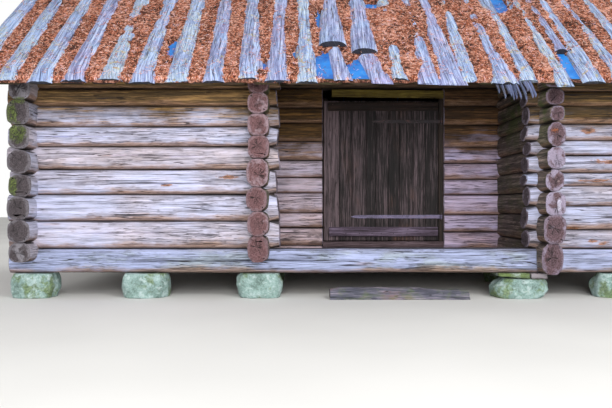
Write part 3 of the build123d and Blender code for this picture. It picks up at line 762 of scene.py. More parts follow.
def stack_x(x_range, y, rows, seed, uneven=(1, 1), ring=0.075):
    """Logs along X for the courses of one wall."""
    chance = random.Random(seed)
    logs = []
    for course, (low, high) in enumerate(rows):
        start = x_range[0] - uneven[0] * wander[course % len(wander)]
        end = x_range[1] + uneven[1] * wander[(course + 3) % len(wander)]
        logs.append(hewn_log((start, y - half_log, low), (end, y + half_log, high), 0, chance,
                             ring, cracked=chance.random() < crack_share))
    return logs


def stack_y(x, y_range, rows, seed, uneven=(1, 1), ring=0.075):
    """Logs along Y for the courses of one wall."""
    chance = random.Random(seed)
    logs = []
    for course, (low, high) in enumerate(rows):
        start = y_range[0] - uneven[0] * wander[(course + 2) % len(wander)]
        end = y_range[1] + uneven[1] * wander[(course + 5) % len(wander)]
        logs.append(hewn_log((x - half_cross, start, low), (x + half_cross, end, high), 1,
                             chance, ring, corner=0.038))
    return logs


def under_roof(logs):
    """Cut logs to the slope of the roof, on both sides of the ridge."""
    for log in logs:
        for side in (-1, 1):
            cut_above(log, (0, 0, apex), (0, side * sin(pitch), cos(pitch)))
    return [log for log in logs if len(log.data.polygons) > 6]


def finish_wall(name, node, logs, sides, ends, along, amount=0.014):
    """Join a wall's logs, make them uneven and give them their two finishes."""
    wall = joined(name, logs)
    stretch = (1.1, 0.16, 0.16) if along == 0 else (0.16, 1.1, 0.16)
    roughen(wall, stretch, amount)
    roughen(wall, tuple(v * 0.28 for v in stretch), amount * 0.45, 3)
    smooth(wall)
    dress(wall, sides, ends)
    for face in wall.data.polygons:
        face.material_index = int(abs(face.normal[along]) > end_slope)
    place_piece(wall, node)
    print(name, len(wall.data.polygons), "faces")


# %% [markdown]
# ## Log ends
# Where two walls cross, every log stands out past the other wall, and its end was hewn by itself:
# some are nearly round, some square, some narrow. Modelling each by hand would be slow, so the
# last few centimetres of a log are squeezed by a width, a height and a roundness of their own.

# %% Log ends
def rounded(a, b, power):
    """Pull the corners of a square section in; power 2 makes it round, 8 leaves it square."""
    norm = (abs(a) ** power + abs(b) ** power) ** (1 / power)
    return max(abs(a), abs(b)) / norm if norm else 1


def round_stubs(logs, stub):
    """Round the short ends that stick out past the porch walls, each by its own amount."""
    side = 1 if stub > 0 else -1
    chance = random.Random(round(abs(stub) * 1000) + side)
    for log in logs:
        zs = [vertex.co.z for vertex in log.data.vertices]
        middle, half = (min(zs) + max(zs)) / 2, (max(zs) - min(zs)) / 2
        tall, deep = chance.uniform(0.86, 0.98), chance.uniform(0.86, 1.0)
        power = chance.uniform(2.2, 3.2)
        tilt = chance.uniform(-0.012, 0.012)
        for vertex in log.data.vertices:
            out = min(1, max(0, (stub + side * 0.075 - vertex.co.x) * side / 0.06))
            if out:
                a, b = (vertex.co.y + wall_y) / half_log, (vertex.co.z - middle) / half
                pull = 1 + (rounded(a, b, power) - 1) * out
                vertex.co.y = -wall_y + a * half_log * pull * (1 + (deep - 1) * out)
                vertex.co.z = middle + b * half * pull * (1 + (tall - 1) * out)
                vertex.co.x += tilt * b * out
    return logs


def shape_ends(logs, x, shapes):
    """Give each end that sticks out in front its own width, height, place and roundness."""
    for log, (slide, wide, tall, power) in zip(logs, shapes):
        zs = [vertex.co.z for vertex in log.data.vertices]
        middle, half = (min(zs) + max(zs)) / 2, (max(zs) - min(zs)) / 2
        for vertex in log.data.vertices:
            out = min(1, max(0, (front_face + 0.01 - vertex.co.y) / 0.08))
            out = out * out * (3 - 2 * out)
            if out:
                a, b = (vertex.co.x - x) / half_cross, (vertex.co.z - middle) / half
                pull = 1 + (rounded(a, b, power) - 1) * out
                vertex.co.x = x + slide * out + a * half_cross * pull * (1 + (wide - 1) * out)
                vertex.co.z = middle + b * half * pull * (1 + (tall - 1) * out)
    return logs


def any_ends(count, seed):
    """End shapes for logs whose ends aren't seen well."""
    chance = random.Random(seed)
    return [(chance.uniform(-0.008, 0.008), chance.uniform(0.84, 1.02), chance.uniform(0.93, 1.0),
             chance.uniform(2.6, 4.5)) for _ in range(count)]


# Ends beside the porch and at the left corner, from the bottom up: slide, width, height and
# how square they are
porch_right_ends = [(-0.017, 1.00, 1.00, 3.4), (-0.008, 1.04, 1.00, 4.6), (0.005, 0.93, 0.99, 5.0),
                    (0.005, 0.86, 0.98, 2.5), (0.008, 0.82, 0.97, 3.6), (0.016, 0.86, 1.00, 2.5),
                    (0.016, 0.70, 0.84, 6.0), (0.002, 0.86, 0.90, 4.5)]
porch_left_ends = [(0, 0.98, 1, 3.2), (0, 0.98, 1, 3.2), (-0.012, 0.96, 1.00, 3.0),
                   (-0.006, 1.02, 1.00, 3.2), (0.003, 0.98, 1.00, 6.0), (0.002, 0.98, 0.97, 4.5),
                   (0, 0.96, 1.00, 4.5), (0, 0.95, 0.95, 4)]
corner_left_ends = [(0, 1, 1, 4), (0.004, 1.04, 0.98, 3.4), (-0.004, 1.04, 1.0, 3.4),
                    (0.004, 1.06, 0.98, 4.2), (0.006, 1.10, 0.95, 2.7), (0.002, 0.92, 0.97, 5.5),
                    (-0.002, 1.06, 0.98, 5.5), (0, 1, 0.95, 4)]
print("shaped ends:", len(porch_right_ends + porch_left_ends + corner_left_ends))

# %% [markdown]
# ## The walls, log by log
# Each CAD wall is replaced by a stack of single logs in the same courses and between the same
# ends. The logs of the front run through, and the walls beside the porch cross them, which makes
# the two columns of log ends. Gables are stacked too high and then cut to the slope of the roof.

# %% Walls along the front and back
finish_wall("front_sill_log", "front_sill",
            [hewn_log((-corner_end, front_face, sill_bottom),
                      (porch_wall_x - half_cross, front_inner, sill_top), 0, random.Random(3),
                      cracked=True, corner=0.05)], sill_logs, dark_ends, 0)
finish_wall("front_wall_left_logs", "front_wall_left",
            round_stubs(stack_x((-corner_end, -stub_end), -wall_y, front_left, 11), -stub_end),
            left_logs, stub_ends, 0)
lowest = [hewn_log((porch_wall_x - half_cross, front_face, sill_bottom),
                   (corner_end, front_inner, front_right[0][1]), 0, random.Random(5), cracked=True)]
finish_wall("front_wall_right_logs", "front_wall_right",
            lowest + round_stubs(stack_x((stub_end, corner_end), -wall_y, front_right[1:], 12),
                                 stub_end), right_logs, stub_ends, 0)
finish_wall("back_wall_logs", "back_wall",
            stack_x((-corner_end, corner_end), wall_y, back, 13, ring=0.12),
            other_logs, dark_ends, 0)

# %% Walls of the recess
finish_wall("door_wall_left_logs", "door_wall_left",
            stack_x((-inner_stub, opening_left), door_wall_y, door_left, 14, (1, 0)),
            porch_left_logs, dark_ends, 0)
finish_wall("door_wall_right_logs", "door_wall_right",
            stack_x((opening_right, inner_stub), door_wall_y, door_right, 15, (0, 1)),
            porch_right_logs, dark_ends, 0)
finish_wall("door_wall_top_logs", "door_wall_top",
            stack_x((-inner_stub, inner_stub), door_wall_y, above_door, 16, ring=0.12),
            eave_logs, dark_ends, 0)
finish_wall("door_sill_log", "door_sill",
            [hewn_log((opening_left, door_face, sill_bottom), (opening_right, door_inner, 0.384),
                      0, random.Random(6))], porch_right_logs, dark_ends, 0, 0.006)

# %% Side walls, gables and the walls beside the porch
def gable_rows(x, seed):
    """Courses of a gable, each as long as the roof leaves room for."""
    logs = []
    for step, (low, high) in enumerate(side_high):
        reach = min(-front_inner, (apex - low) / tan(pitch) + 0.01)
        logs += stack_y(x, (-reach, reach), [(low, high)], seed + step, (0, 0), 0.12)
    return under_roof(logs)


for side, name in ((-1, "left"), (1, "right")):
    x = side * side_wall_x
    low = shape_ends(stack_y(x, (-cross_end, cross_end), side_low, 20 + side, ring=0.12), x,
                     corner_left_ends if side < 0 else any_ends(len(side_low), 31))
    finish_wall(f"side_wall_{name}_logs", f"side_wall_{name}",
                low + gable_rows(x, 40 + 20 * side), other_logs, mossy_ends, 1)
    x = side * porch_wall_x
    rows = porch_left if side < 0 else porch_right
    low = shape_ends(stack_y(x, (-cross_end, door_inner + stub_out), rows, 50 + side), x,
                     porch_left_ends if side < 0 else porch_right_ends)
    high = under_roof(stack_y(x, (front_inner, door_inner + stub_out), porch_high, 70 + side,
                              (0, 1), 0.12))
    finish_wall(f"porch_wall_{name}_logs", f"porch_wall_{name}", low + high, shaded_logs,
                red_ends if side < 0 else dark_ends, 1)

# %% Eave logs
for side, name in ((-1, "front"), (1, "back")):
    y = side * wall_y
    high = roof_rest + 2 * half_log * tan(pitch)
    log = hewn_log((-log_half_run, y - half_log, wall_top + 0.005),
                   (log_half_run, y + half_log, high), 0, random.Random(80 + side), 0.12)
    finish_wall(f"eave_log_{name}_wood", f"eave_log_{name}", under_roof([log]), eave_logs,
                dark_ends, 0, 0.006)

# %% [markdown]
# ## Stones
# The boulders carry the corners and the middles of the walls. A round stone is a sphere that
# was pressed flat where it lies and where the log lies on it, and lumps make it a real one.

# %% Stone finish
def stone_finish(name, light, middle, deep, moss):
    """Granite with pale lichen crusts and moss in patches."""
    rock = Finish(name, 0.92)
    place = rock.place()
    grit = rock.cloud(place, 60, 4, 0.7)
    lumps = rock.cloud(place, 7, 5, 0.6)
    crust = rock.cloud(rock.stretch(place, (1, 1, 1.6)), 14, 5, 0.7, 0.5)
    colour = rock.ramp(lumps * 0.6 + grit * 0.4, (0.32, deep), (0.5, middle), (0.68, light))
    colour = rock.blend(crust.rise(0.53, 0.60) * 0.5, colour, paint(196, 212, 212))
    green = rock.cloud(place, 5, 5, 0.65).rise(0.56 - moss * 0.12, 0.66 - moss * 0.1)
    colour = rock.blend(green * 0.75, colour, rock.ramp(grit, (0.35, paint(54, 70, 26)),
                                                        (0.65, paint(118, 138, 66))))
    return rock.finish(colour, grit * 0.4 + crust * 0.4 + lumps * 0.5, 0.008)


pale_stone = stone_finish("pale_boulder", paint(186, 206, 208), paint(138, 164, 158),
                          paint(66, 84, 76), 0.5)
green_stone = stone_finish("mossy_boulder", paint(150, 164, 146), paint(104, 118, 96),
                           paint(58, 68, 50), 0.8)


# %% Boulders
def boulder(node, index, seed):
    """A round stone over one solid of a node, pressed flat where the log lies on it."""
    low, high = [Vector(corner) for corner in stone_boxes[node][index]]
    middle, size = (low + high) / 2, high - low
    piece = fresh(bpy.ops.mesh.primitive_ico_sphere_add, radius=0.5, location=middle,
                  subdivisions=5 if node == "front_stones" else 4)
    chance = random.Random(seed)
    wide = Vector((size.x * chance.uniform(0.96, 1.06), size.y * 1.06, size.z * 1.6))
    offset = Vector((chance.uniform(0, 50), chance.uniform(0, 50), 0))
    sides = (chance.uniform(0.0, 0.30), chance.uniform(0.0, 0.30))
    if size.z < sill_bottom - 0.01:
        sides = (0.85, 0.0)
    for vertex in piece.data.vertices:
        share = (vertex.co - middle) * 2
        corner = max(abs(share.x), abs(share.y), abs(share.z))
        share = share * (0.70 + 0.30 / max(corner, 0.58))
        lump = 1 + 0.16 * noise.noise(share * 1.1 + offset) + 0.06 * noise.noise(share * 3 + offset)
        point = Vector(middle[i] + share[i] * lump * wide[i] / 2 for i in range(3))
        fall = sides[0] if share.x < 0 else sides[1]
        point.z -= fall * size.z * max(0, abs(share.x) - 0.25) * max(0, share.z)
        point.x = min(max(point.x, low.x), high.x)
        point.y = min(max(point.y, low.y - 0.01), high.y + 0.01)
        point.z = min(max(point.z, 0.0), high.z)
        vertex.co = point
    roughen(piece, (0.09, 0.09, 0.09), 0.014, 3, 0.7)
    for vertex in piece.data.vertices:
        vertex.co.z = min(max(vertex.co.z, 0.0), high.z)
    return piece


corner_x = side_wall_x - 0.040
stone_places = {
    "front_stones": [(-corner_x, -wall_y), (-porch_wall_x - 1.055, -wall_y),
                     (-porch_wall_x, -wall_y), (porch_wall_x + 0.690, -wall_y),
                     (corner_x, -wall_y)],
    "back_stones": [(-corner_x, wall_y), (-porch_wall_x + 0.180, wall_y),
                    (porch_wall_x - 0.180, wall_y), (corner_x, wall_y)],
    "inner_stones": [(-porch_wall_x, door_wall_y), (porch_wall_x, door_wall_y)],
}
half_wide, half_deep = 0.215, 0.165
stone_boxes = {node: [((x - half_wide, y - half_deep, 0),
                       (x + half_wide, y + half_deep, sill_bottom)) for x, y in places]
               for node, places in stone_places.items()}
stone_boxes["front_stones"].append(((porch_wall_x - 0.490, -wall_y - 0.200, 0),
                                    (porch_wall_x + 0.010, -wall_y + 0.200, 0.176)))
for node, boxes in stone_boxes.items():
    stones = [boulder(node, index, 7 * index + len(node)) for index in range(len(boxes))]
    pile = joined(node[:-1] + "_boulders", stones)
    smooth(pile, 60)
    dress(pile, pale_stone if node == "front_stones" else green_stone)
    place_piece(pile, node)
    print(pile.name, len(pile.data.polygons), "faces")


# %% [markdown]
# ## Flat stone
# One boulder is too low, so a thin stone lies on it, and a wooden block on that. The stone is a
# box with worn edges, made thinner towards the left; as it is small, lumps do the rest.

# %% Flat stone
slab_low, slab_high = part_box("slab_stone")
slab = solid_box("flat_stone", slab_low, slab_high)
with editing(slab):
    bpy.ops.mesh.select_all(action="SELECT")
    bpy.ops.mesh.bevel(offset=0.008, segments=2, affect="EDGES")
    bpy.ops.mesh.select_all(action="SELECT")
    bpy.ops.mesh.subdivide(number_cuts=6)
for vertex in slab.data.vertices:
    share = (vertex.co.x - slab_low.x) / (slab_high.x - slab_low.x)
    vertex.co.z = slab_high.z - (slab_high.z - vertex.co.z) * (0.55 + 0.45 * share)
roughen(slab, (0.06, 0.06, 0.06), 0.012)
smooth(slab)
dress(slab, green_stone)
place_piece(slab, "slab_stone")
print("flat stone:", len(slab.data.polygons), "faces")

# %% [markdown]
# ## Hewn blocks, boards and the step
# Smaller woods share one finish in several mixes. The step in front of the porch is half a log,
# bark side up, that has gone green and grey on the damp ground.

# %% Wood finish for blocks and boards
def board_finish(name, deep, middle, light, wide, moss=0.0, patch_colour=None, rough=0.85,
                 apart=0.16):
    """Sawn or hewn boards: streaks along the grain, cracks, each board with a tone of its own."""
    wood = Finish(name, rough)
    place, grain, tone = wood.place(), wood.grain(), wood.tone()
    shift = tone * 41
    fine = wood.cloud(wood.stretch(grain, (2.5, wide * 3.2, 1), shift), 3.0, 6, 0.65)
    streak = wood.cloud(wood.stretch(grain, (0.8, wide, 1), shift), 2.4, 4, 0.6, 0.5)
    patch = wood.cloud(wood.stretch(place, (1, 1, 0.6)), 3.0, 4, 0.6)
    mixed = fine * 0.45 + streak * 0.55 + (tone - 0.5) * apart + (patch - 0.5) * 0.24
    colour = wood.ramp(mixed, (0.33, deep), (0.48, middle), (0.66, light))
    if patch_colour:
        colour = wood.blend(patch.rise(0.52, 0.72) * streak.rise(0.35, 0.6) * 0.7, colour,
                            patch_colour)
    knots = wood.cells(wood.stretch(grain, (1.8, 6.5, 1), shift), 1.0)
    core = knots.below(0.03, 0.07)
    colour = wood.blend(core * 0.8, colour, paint(30, 22, 18))
    line = wood.cloud(wood.stretch(grain, (0.5, wide * 0.5, 1), shift), 3.0, 3, 0.5, 0.5)
    crack = abs(line - 0.5).below(0.004, 0.015) * streak.rise(0.4, 0.6)
    colour = wood.blend(crack * 0.8, colour, paint(24, 18, 18))
    if moss:
        green = wood.cloud(place, 6, 5, 0.65).rise(0.48, 0.64) * moss
        colour = wood.blend(green, colour, paint(92, 112, 42))
    return wood.finish(colour, fine * 0.5 + streak * 0.7 - crack * 1.4 - core * 0.5, 0.004)


def map_box(piece, along, tone):
    """A map along the wood for a board or block, and its own tone."""
    mesh = piece.data
    give_tone(piece, tone)
    layer = grain_layer(mesh)
    others = [axis for axis in range(3) if axis != along]
    for face in mesh.polygons:
        flat = min(others, key=lambda axis: -abs(face.normal[axis]))
        round_axis = [axis for axis in others if axis != flat][0]
        for corner in face.loop_indices:
            point = mesh.vertices[mesh.loops[corner].vertex_index].co
            layer.data[corner].uv = (point[along] + 7 * tone, point[round_axis] + 0.3 * flat)


def board(low, high, along, chance, ring, corner, across_cuts=2, tone=None):
    """One board or beam with rounded edges, cut into short lengths so that it can warp."""
    low, high = Vector(low), Vector(high)
    piece = solid_box("board", low, high)
    widest = max((axis for axis in range(3) if axis != along), key=lambda a: high[a] - low[a])
    with editing(piece):
        bpy.ops.mesh.select_all(action="SELECT")
        bpy.ops.mesh.bevel(offset=corner, segments=2, affect="EDGES")
        pick(piece, "edges", runs(widest))
        bpy.ops.mesh.subdivide(number_cuts=across_cuts)
        pick(piece, "edges", runs(along))
        bpy.ops.mesh.subdivide(number_cuts=max(1, round((high[along] - low[along]) / ring) - 1))
    map_box(piece, along, chance.random() if tone is None else tone)
    return piece


# %% Shim block
shim_wood = board_finish("weathered_block", paint(86, 76, 78), paint(146, 136, 142),
                         paint(190, 184, 190), 22)
shim_low, shim_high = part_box("shim_block")
shim = board(shim_low, shim_high, 1, random.Random(4), 0.04, 0.006, 3)
roughen(shim, (0.05, 0.2, 0.05), 0.006)
smooth(shim)
dress(shim, shim_wood)
place_piece(shim, "shim_block")
print("shim block:", len(shim.data.polygons), "faces")

# %% Step log
step_low, step_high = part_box("step_log")
step_size = step_high - step_low
step = fresh(bpy.ops.mesh.primitive_cylinder_add, vertices=28, radius=0.5, depth=1,
             rotation=(0, pi / 2, 0))
step.name = "step_half_log"
with editing(step):
    bpy.ops.mesh.select_all(action="SELECT")
    bpy.ops.mesh.bisect(plane_co=(0, 0, 0), plane_no=(0, 0, -1), use_fill=True, clear_outer=True)
    pick(step, "edges", runs(0))
    bpy.ops.mesh.subdivide(number_cuts=30)
for vertex in step.data.vertices:
    co = vertex.co
    ridge = 1 + 0.16 * noise.noise((co.x * 5, 0, 3)) - 0.25 * max(0, abs(co.x) - 0.42) * 4
    vertex.co = ((step_low.x + step_high.x) / 2 + co.x * step_size.x * 0.995,
                 (step_low.y + step_high.y) / 2 + co.y * step_size.y * (0.86 + 0.1 * ridge),
                 co.z * 2 * step_size.z * (1.0 - 0.42 * max(0, co.x + 0.1)) * ridge)
roughen(step, (0.3, 0.05, 0.05), 0.026, 3, 0.6)
for vertex in step.data.vertices:
    vertex.co.z = min(max(vertex.co.z, 0), step_high.z)
map_box(step, 0, 0.4)
smooth(step, 50)
dress(step, board_finish("damp_step_wood", paint(22, 28, 34), paint(88, 88, 102),
                         paint(168, 156, 170), 14, 0.35, paint(112, 66, 52)))
place_piece(step, "step_log")
print("step", len(step.data.polygons), "faces")

# %% [markdown]
# ## The doorway
# Posts, threshold and lintel board are hewn planks. Each is a box cut into short lengths and
# roughened a little, darker than the logs; the near black of the posts is painted shade.

# %% Frame of the doorway
frame_wood = board_finish("dark_frame_wood", paint(30, 22, 22), paint(74, 58, 62),
                          paint(122, 104, 112), 24)
# the posts' near black is painted shade of the porch roof on the doorway
shade_painted_post_wood = board_finish("black_posts_painted_shade", paint(8, 6, 6), paint(28, 21, 18),
                         paint(58, 45, 38), 24)
olive_wood = board_finish("olive_lintel_wood", paint(56, 44, 16), paint(122, 104, 40),
                          paint(172, 152, 72), 24)
post_chance = random.Random(17)


def frame_piece(name, node, along, wood, low, high, amount=0.003, sag=0.0):
    """One plank of the doorway; sag lowers its right end."""
    piece = board(low, high, along, post_chance, 0.08, 0.006)
    for vertex in piece.data.vertices:
        vertex.co.z -= sag * (vertex.co.x - low.x) / (high.x - low.x)
    stretch = [0.05, 0.05, 0.05]
    stretch[along] = 0.4
    roughen(piece, tuple(stretch), amount)
    smooth(piece)
    piece.name = name
    dress(piece, wood)
    place_piece(piece, node)
    print(name, len(piece.data.polygons), "faces")


low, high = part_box("threshold")
frame_piece("threshold_plank", "threshold", 0, frame_wood, low + Vector((0, 0.002, 0)), high)
frame_piece("hinge_post", "jamb_right", 2, shade_painted_post_wood, *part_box("jamb_right"))
frame_piece("stop_post", "jamb_left", 2, shade_painted_post_wood, *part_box("jamb_left"))
low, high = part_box("lintel_board")
frame_piece("lintel_plank", "lintel_board", 0, olive_wood, low + Vector((0, 0, 0.030)),
            high - Vector((0, 0, 0.012)), 0.004, 0.016)

# %% [markdown]
# ## The door
# Nine upright boards of uneven width are nailed to two ledges and hang on two strap hinges.
# Every board is made by itself, a few millimetres from its neighbour, and has its own tone.

# %% Door boards and ledges
board_widths = [0.165, 0.147, 0.153, 0.107, 0.140, 0.120, 0.157, 0.122, 0.143]
board_tones = [0.95, 0.45, 0.62, 0.35, 0.50, 0.25, 0.42, 0.62, 0.38]
half_gap = 0.0015
leaf_low, leaf_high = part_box("door_boards")
door_wood = board_finish("dark_door_wood", paint(4, 2, 3), paint(32, 25, 26),
                         paint(122, 104, 110), 26, 0.0, paint(84, 54, 38), 0.8, 0.20)
door_chance = random.Random(29)
boards, left = [], leaf_low.x
for width, tone in zip(board_widths, board_tones):
    low = (left + half_gap, leaf_low.y + door_chance.uniform(0, 0.004), leaf_low.z)
    high = (left + width - half_gap, leaf_high.y, leaf_high.z - door_chance.uniform(0, 0.006))
    boards.append(board(low, high, 2, door_chance, 0.06, 0.009, 5, tone))
    left += width
leaf = joined("door_planks", boards)
roughen(leaf, (0.03, 0.1, 0.5), 0.004, 2, 0.2)
roughen(leaf, (0.009, 0.05, 0.25), 0.002, 2, 0.2)
smooth(leaf)
dress(leaf, door_wood)
place_piece(leaf, "door_boards", "door")
print("door boards", len(leaf.data.polygons), "faces")

ledge_wood = board_finish("ledge_wood", paint(30, 22, 26), paint(82, 68, 84),
                          paint(152, 136, 162), 26)
dark_ledge_wood = board_finish("dark_ledge_wood", paint(20, 13, 11), paint(46, 32, 27),
                               paint(82, 58, 46), 26)
for node, wood in (("door_ledge_upper", dark_ledge_wood), ("door_ledge_lower", ledge_wood)):
    low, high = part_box(node)
    ledge = board(low, high, 0, door_chance, 0.07, 0.004, 3)
    roughen(ledge, (0.4, 0.03, 0.03), 0.004, 2, 0.3)
    smooth(ledge)
    ledge.name = node + "_plank"
    dress(ledge, wood)
    place_piece(ledge, node, "door")
    print(ledge.name, len(ledge.data.polygons), "faces")


# %% [markdown]
# ## Iron straps, pins and nails
# The straps are flat iron that a smith drew out to a point and rolled into an eye at the other
# end. A box narrowed at one end and a pierced cylinder make one; the mesh could be bent round
# the pin too, but the joint of eye and blade doesn't show. The iron is dull, nearly purple, with
# rust in patches. Nails are flattened balls, modelled once and copied to each place.

# %% Iron
def iron_finish(name, middle, light):
    """Old wrought iron, pitted, with thin rust in patches."""
    iron = Finish(name, 0.6)
    iron.shader.inputs["Metallic"].default_value = 0.35
    place = iron.place()
    pits = iron.cloud(place, 90, 4, 0.7)
    cloudy = iron.cloud(iron.stretch(place, (0.5, 1, 1)), 16, 4, 0.6)
    colour = iron.ramp(cloudy * 0.6 + pits * 0.4, (0.35, paint(52, 46, 54)),
                       (0.5, paint(*middle)), (0.66, paint(*light)))
    rust = cloudy.rise(0.54, 0.68) * pits.rise(0.4, 0.6)
    colour = iron.blend(rust * 0.7, colour, paint(104, 58, 38))
    return iron.finish(colour, pits, 0.0015, roughness=cloudy * 0.3 + 0.45)


bright_iron = iron_finish("worn_strap_iron", (106, 98, 126), (142, 136, 166))
dull_iron = iron_finish("dull_strap_iron", (44, 36, 38), (84, 74, 82))

# %% Straps
eye_radius, eye_height, eye_wall = 0.0143, 0.038, 0.0053
blade_thick, blade_half = 0.006, 0.020


def iron_strap(node, iron, seed):
    """A pointed strap with nail heads, rolled round the pin at its right end."""
    low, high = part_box(node)
    z = (low.z + high.z) / 2
    face = leaf_low.y
    pin_x = high.x - eye_radius
    pin_y = face - eye_radius
    blade = solid_box(node + "_iron", (low.x, face - blade_thick, z - blade_half),
                      (pin_x, face, z + blade_half))
    with editing(blade):
        bpy.ops.mesh.select_all(action="SELECT")
        bpy.ops.mesh.bevel(offset=0.0012, segments=1, affect="EDGES")
        pick(blade, "edges", runs(0))
        bpy.ops.mesh.subdivide(number_cuts=23)
    length = pin_x - low.x
    for vertex in blade.data.vertices:
        share = (vertex.co.x - low.x) / length
        point = min(1.0, 0.18 + share * 14)
        swell = 0.86 + 0.14 * share
        vertex.co.z = z + (vertex.co.z - z) * point * swell
        vertex.co.z += 0.0015 * noise.noise((vertex.co.x * 9, seed, 0))
    eye = fresh(bpy.ops.mesh.primitive_cylinder_add, vertices=32, radius=eye_radius,
                depth=eye_height, location=(pin_x, pin_y, z), end_fill_type="NGON")
    with editing(eye, "FACE"):
        pick(eye, "faces", lambda found: abs(found.normal.z) > 0.9)
        bpy.ops.mesh.inset(thickness=eye_wall, use_individual=True)
        bpy.ops.mesh.bridge_edge_loops()
    heads = [fresh(bpy.ops.mesh.primitive_uv_sphere_add, (1, 0.45, 1), segments=10,
                   ring_count=6, radius=0.007,
                   location=(low.x + length * share, face - 0.0065, z))
             for share in (0.10, 0.34, 0.58, 0.82)]
    strap = joined(node + "_iron", [blade, eye] + heads)
    smooth(strap)
    dress(strap, iron)
    place_piece(strap, node, "door")
    print(strap.name, len(strap.data.polygons), "faces")


iron_strap("strap_upper", dull_iron, 2)
iron_strap("strap_lower", bright_iron, 5)
for node in ("pintle_upper", "pintle_lower"):
    dress(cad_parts[node], dull_iron)

# %% Nails in the ledges
nail_places = []
left = leaf_low.x
for width in board_widths:
    for node in ("door_ledge_upper", "door_ledge_lower"):
        low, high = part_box(node)
        for share in (0.3, 0.72):
            x = left + width * 0.5 + door_chance.uniform(-0.02, 0.02)
            if low.x + 0.02 < x < high.x - 0.02:
                nail_places.append((x, low.y - 0.0005, low.z + (high.z - low.z) * share))
    left += width
nail = fresh(bpy.ops.mesh.primitive_uv_sphere_add, (1, 0.5, 1), segments=8, ring_count=5,
             radius=0.0055)
nails = []
for spot in nail_places:
    copy = nail.copy()
    copy.data = nail.data.copy()
    copy.data.transform(Matrix.Translation(spot))
    bpy.context.scene.collection.objects.link(copy)
    nails.append(copy)
bpy.data.objects.remove(nail)
nails = joined("ledge_nails", nails)
dress(nails, dull_iron)
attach(nails, "door")
print("nails:", len(nail_places))

# %% [markdown]
# ## Floors, joists and roof logs
# These frame nodes already have the right shape, so they stay and only get a finish. Their
# meshes have no map, so the pattern runs along the axis that the wood has.

# %% Finishes for frame nodes that stay
def straight_finish(name, along, deep, middle, light, moss=0.0):
    """Wood whose grain runs along one axis of the frame, for nodes without a map."""
    wood = Finish(name, 0.88)
    place = wood.place()
    squeeze = [38, 38, 38]
    squeeze[along] = 1.6
    broad = [9, 9, 9]
    broad[along] = 0.7
    fine = wood.cloud(wood.stretch(place, tuple(squeeze)), 1.6, 6, 0.65)
    streak = wood.cloud(wood.stretch(place, tuple(broad)), 1.6, 4, 0.6, 0.4)
    colour = wood.ramp(fine * 0.5 + streak * 0.5, (0.34, deep), (0.5, middle), (0.66, light))
    if moss:
        green = wood.cloud(place, 5, 4, 0.6).rise(0.5, 0.64) * moss
        colour = wood.blend(green, colour, paint(80, 92, 40))
    return wood.finish(colour, fine * 0.6 + streak * 0.6, 0.004)


floor_x = straight_finish("floor_wood_x", 0, paint(62, 50, 42), paint(108, 92, 80),
                          paint(150, 134, 120))
floor_y = straight_finish("floor_wood_y", 1, paint(50, 40, 34), paint(92, 76, 64),
                          paint(134, 116, 100))
roof_log_wood = straight_finish("roof_log_wood", 0, paint(46, 34, 26), paint(92, 72, 56),
                                paint(140, 120, 104))
for node, wood in (("floor_joists", floor_y), ("floor_left", floor_x), ("floor_right", floor_x),
                   ("floor_back", floor_x), ("porch_floor", floor_x), ("porch_bearers", floor_x),
                   ("purlin_front", roof_log_wood), ("purlin_back", roof_log_wood),
                   ("ridge_log", roof_log_wood)):
    dress(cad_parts[node], wood)
print("nine frame nodes got a finish")

# %% [markdown]
# ## The roof in layers
# From below there is a closed layer of split logs, then a blue waterproof sheet, then a second
# layer of split logs with the round side up. Needles from the trees have filled the valleys
# between the upper logs. All of it is made flat, with Y running up the slope, and then turned
# onto the roof; the back slope is the same turned half round the middle of the building.

# %% Onto the slope
under_thick, sheet_thick, cover_high, cover_reach = 0.045, 0.001, 0.058, 0.038
sheet_top = under_thick + sheet_thick
on_front = Matrix.Translation((0, 0, apex)) @ Matrix.Rotation(pitch, 4, "X")
on_back = Matrix.Rotation(pi, 4, "Z") @ on_front


def slope_map(piece):
    """Map along the slope, before the piece is turned onto it."""
    layer = grain_layer(piece.data)
    for loop in piece.data.loops:
        point = piece.data.vertices[loop.vertex_index].co
        layer.data[loop.index].uv = (point.y, point.x + 0.6 * point.z)


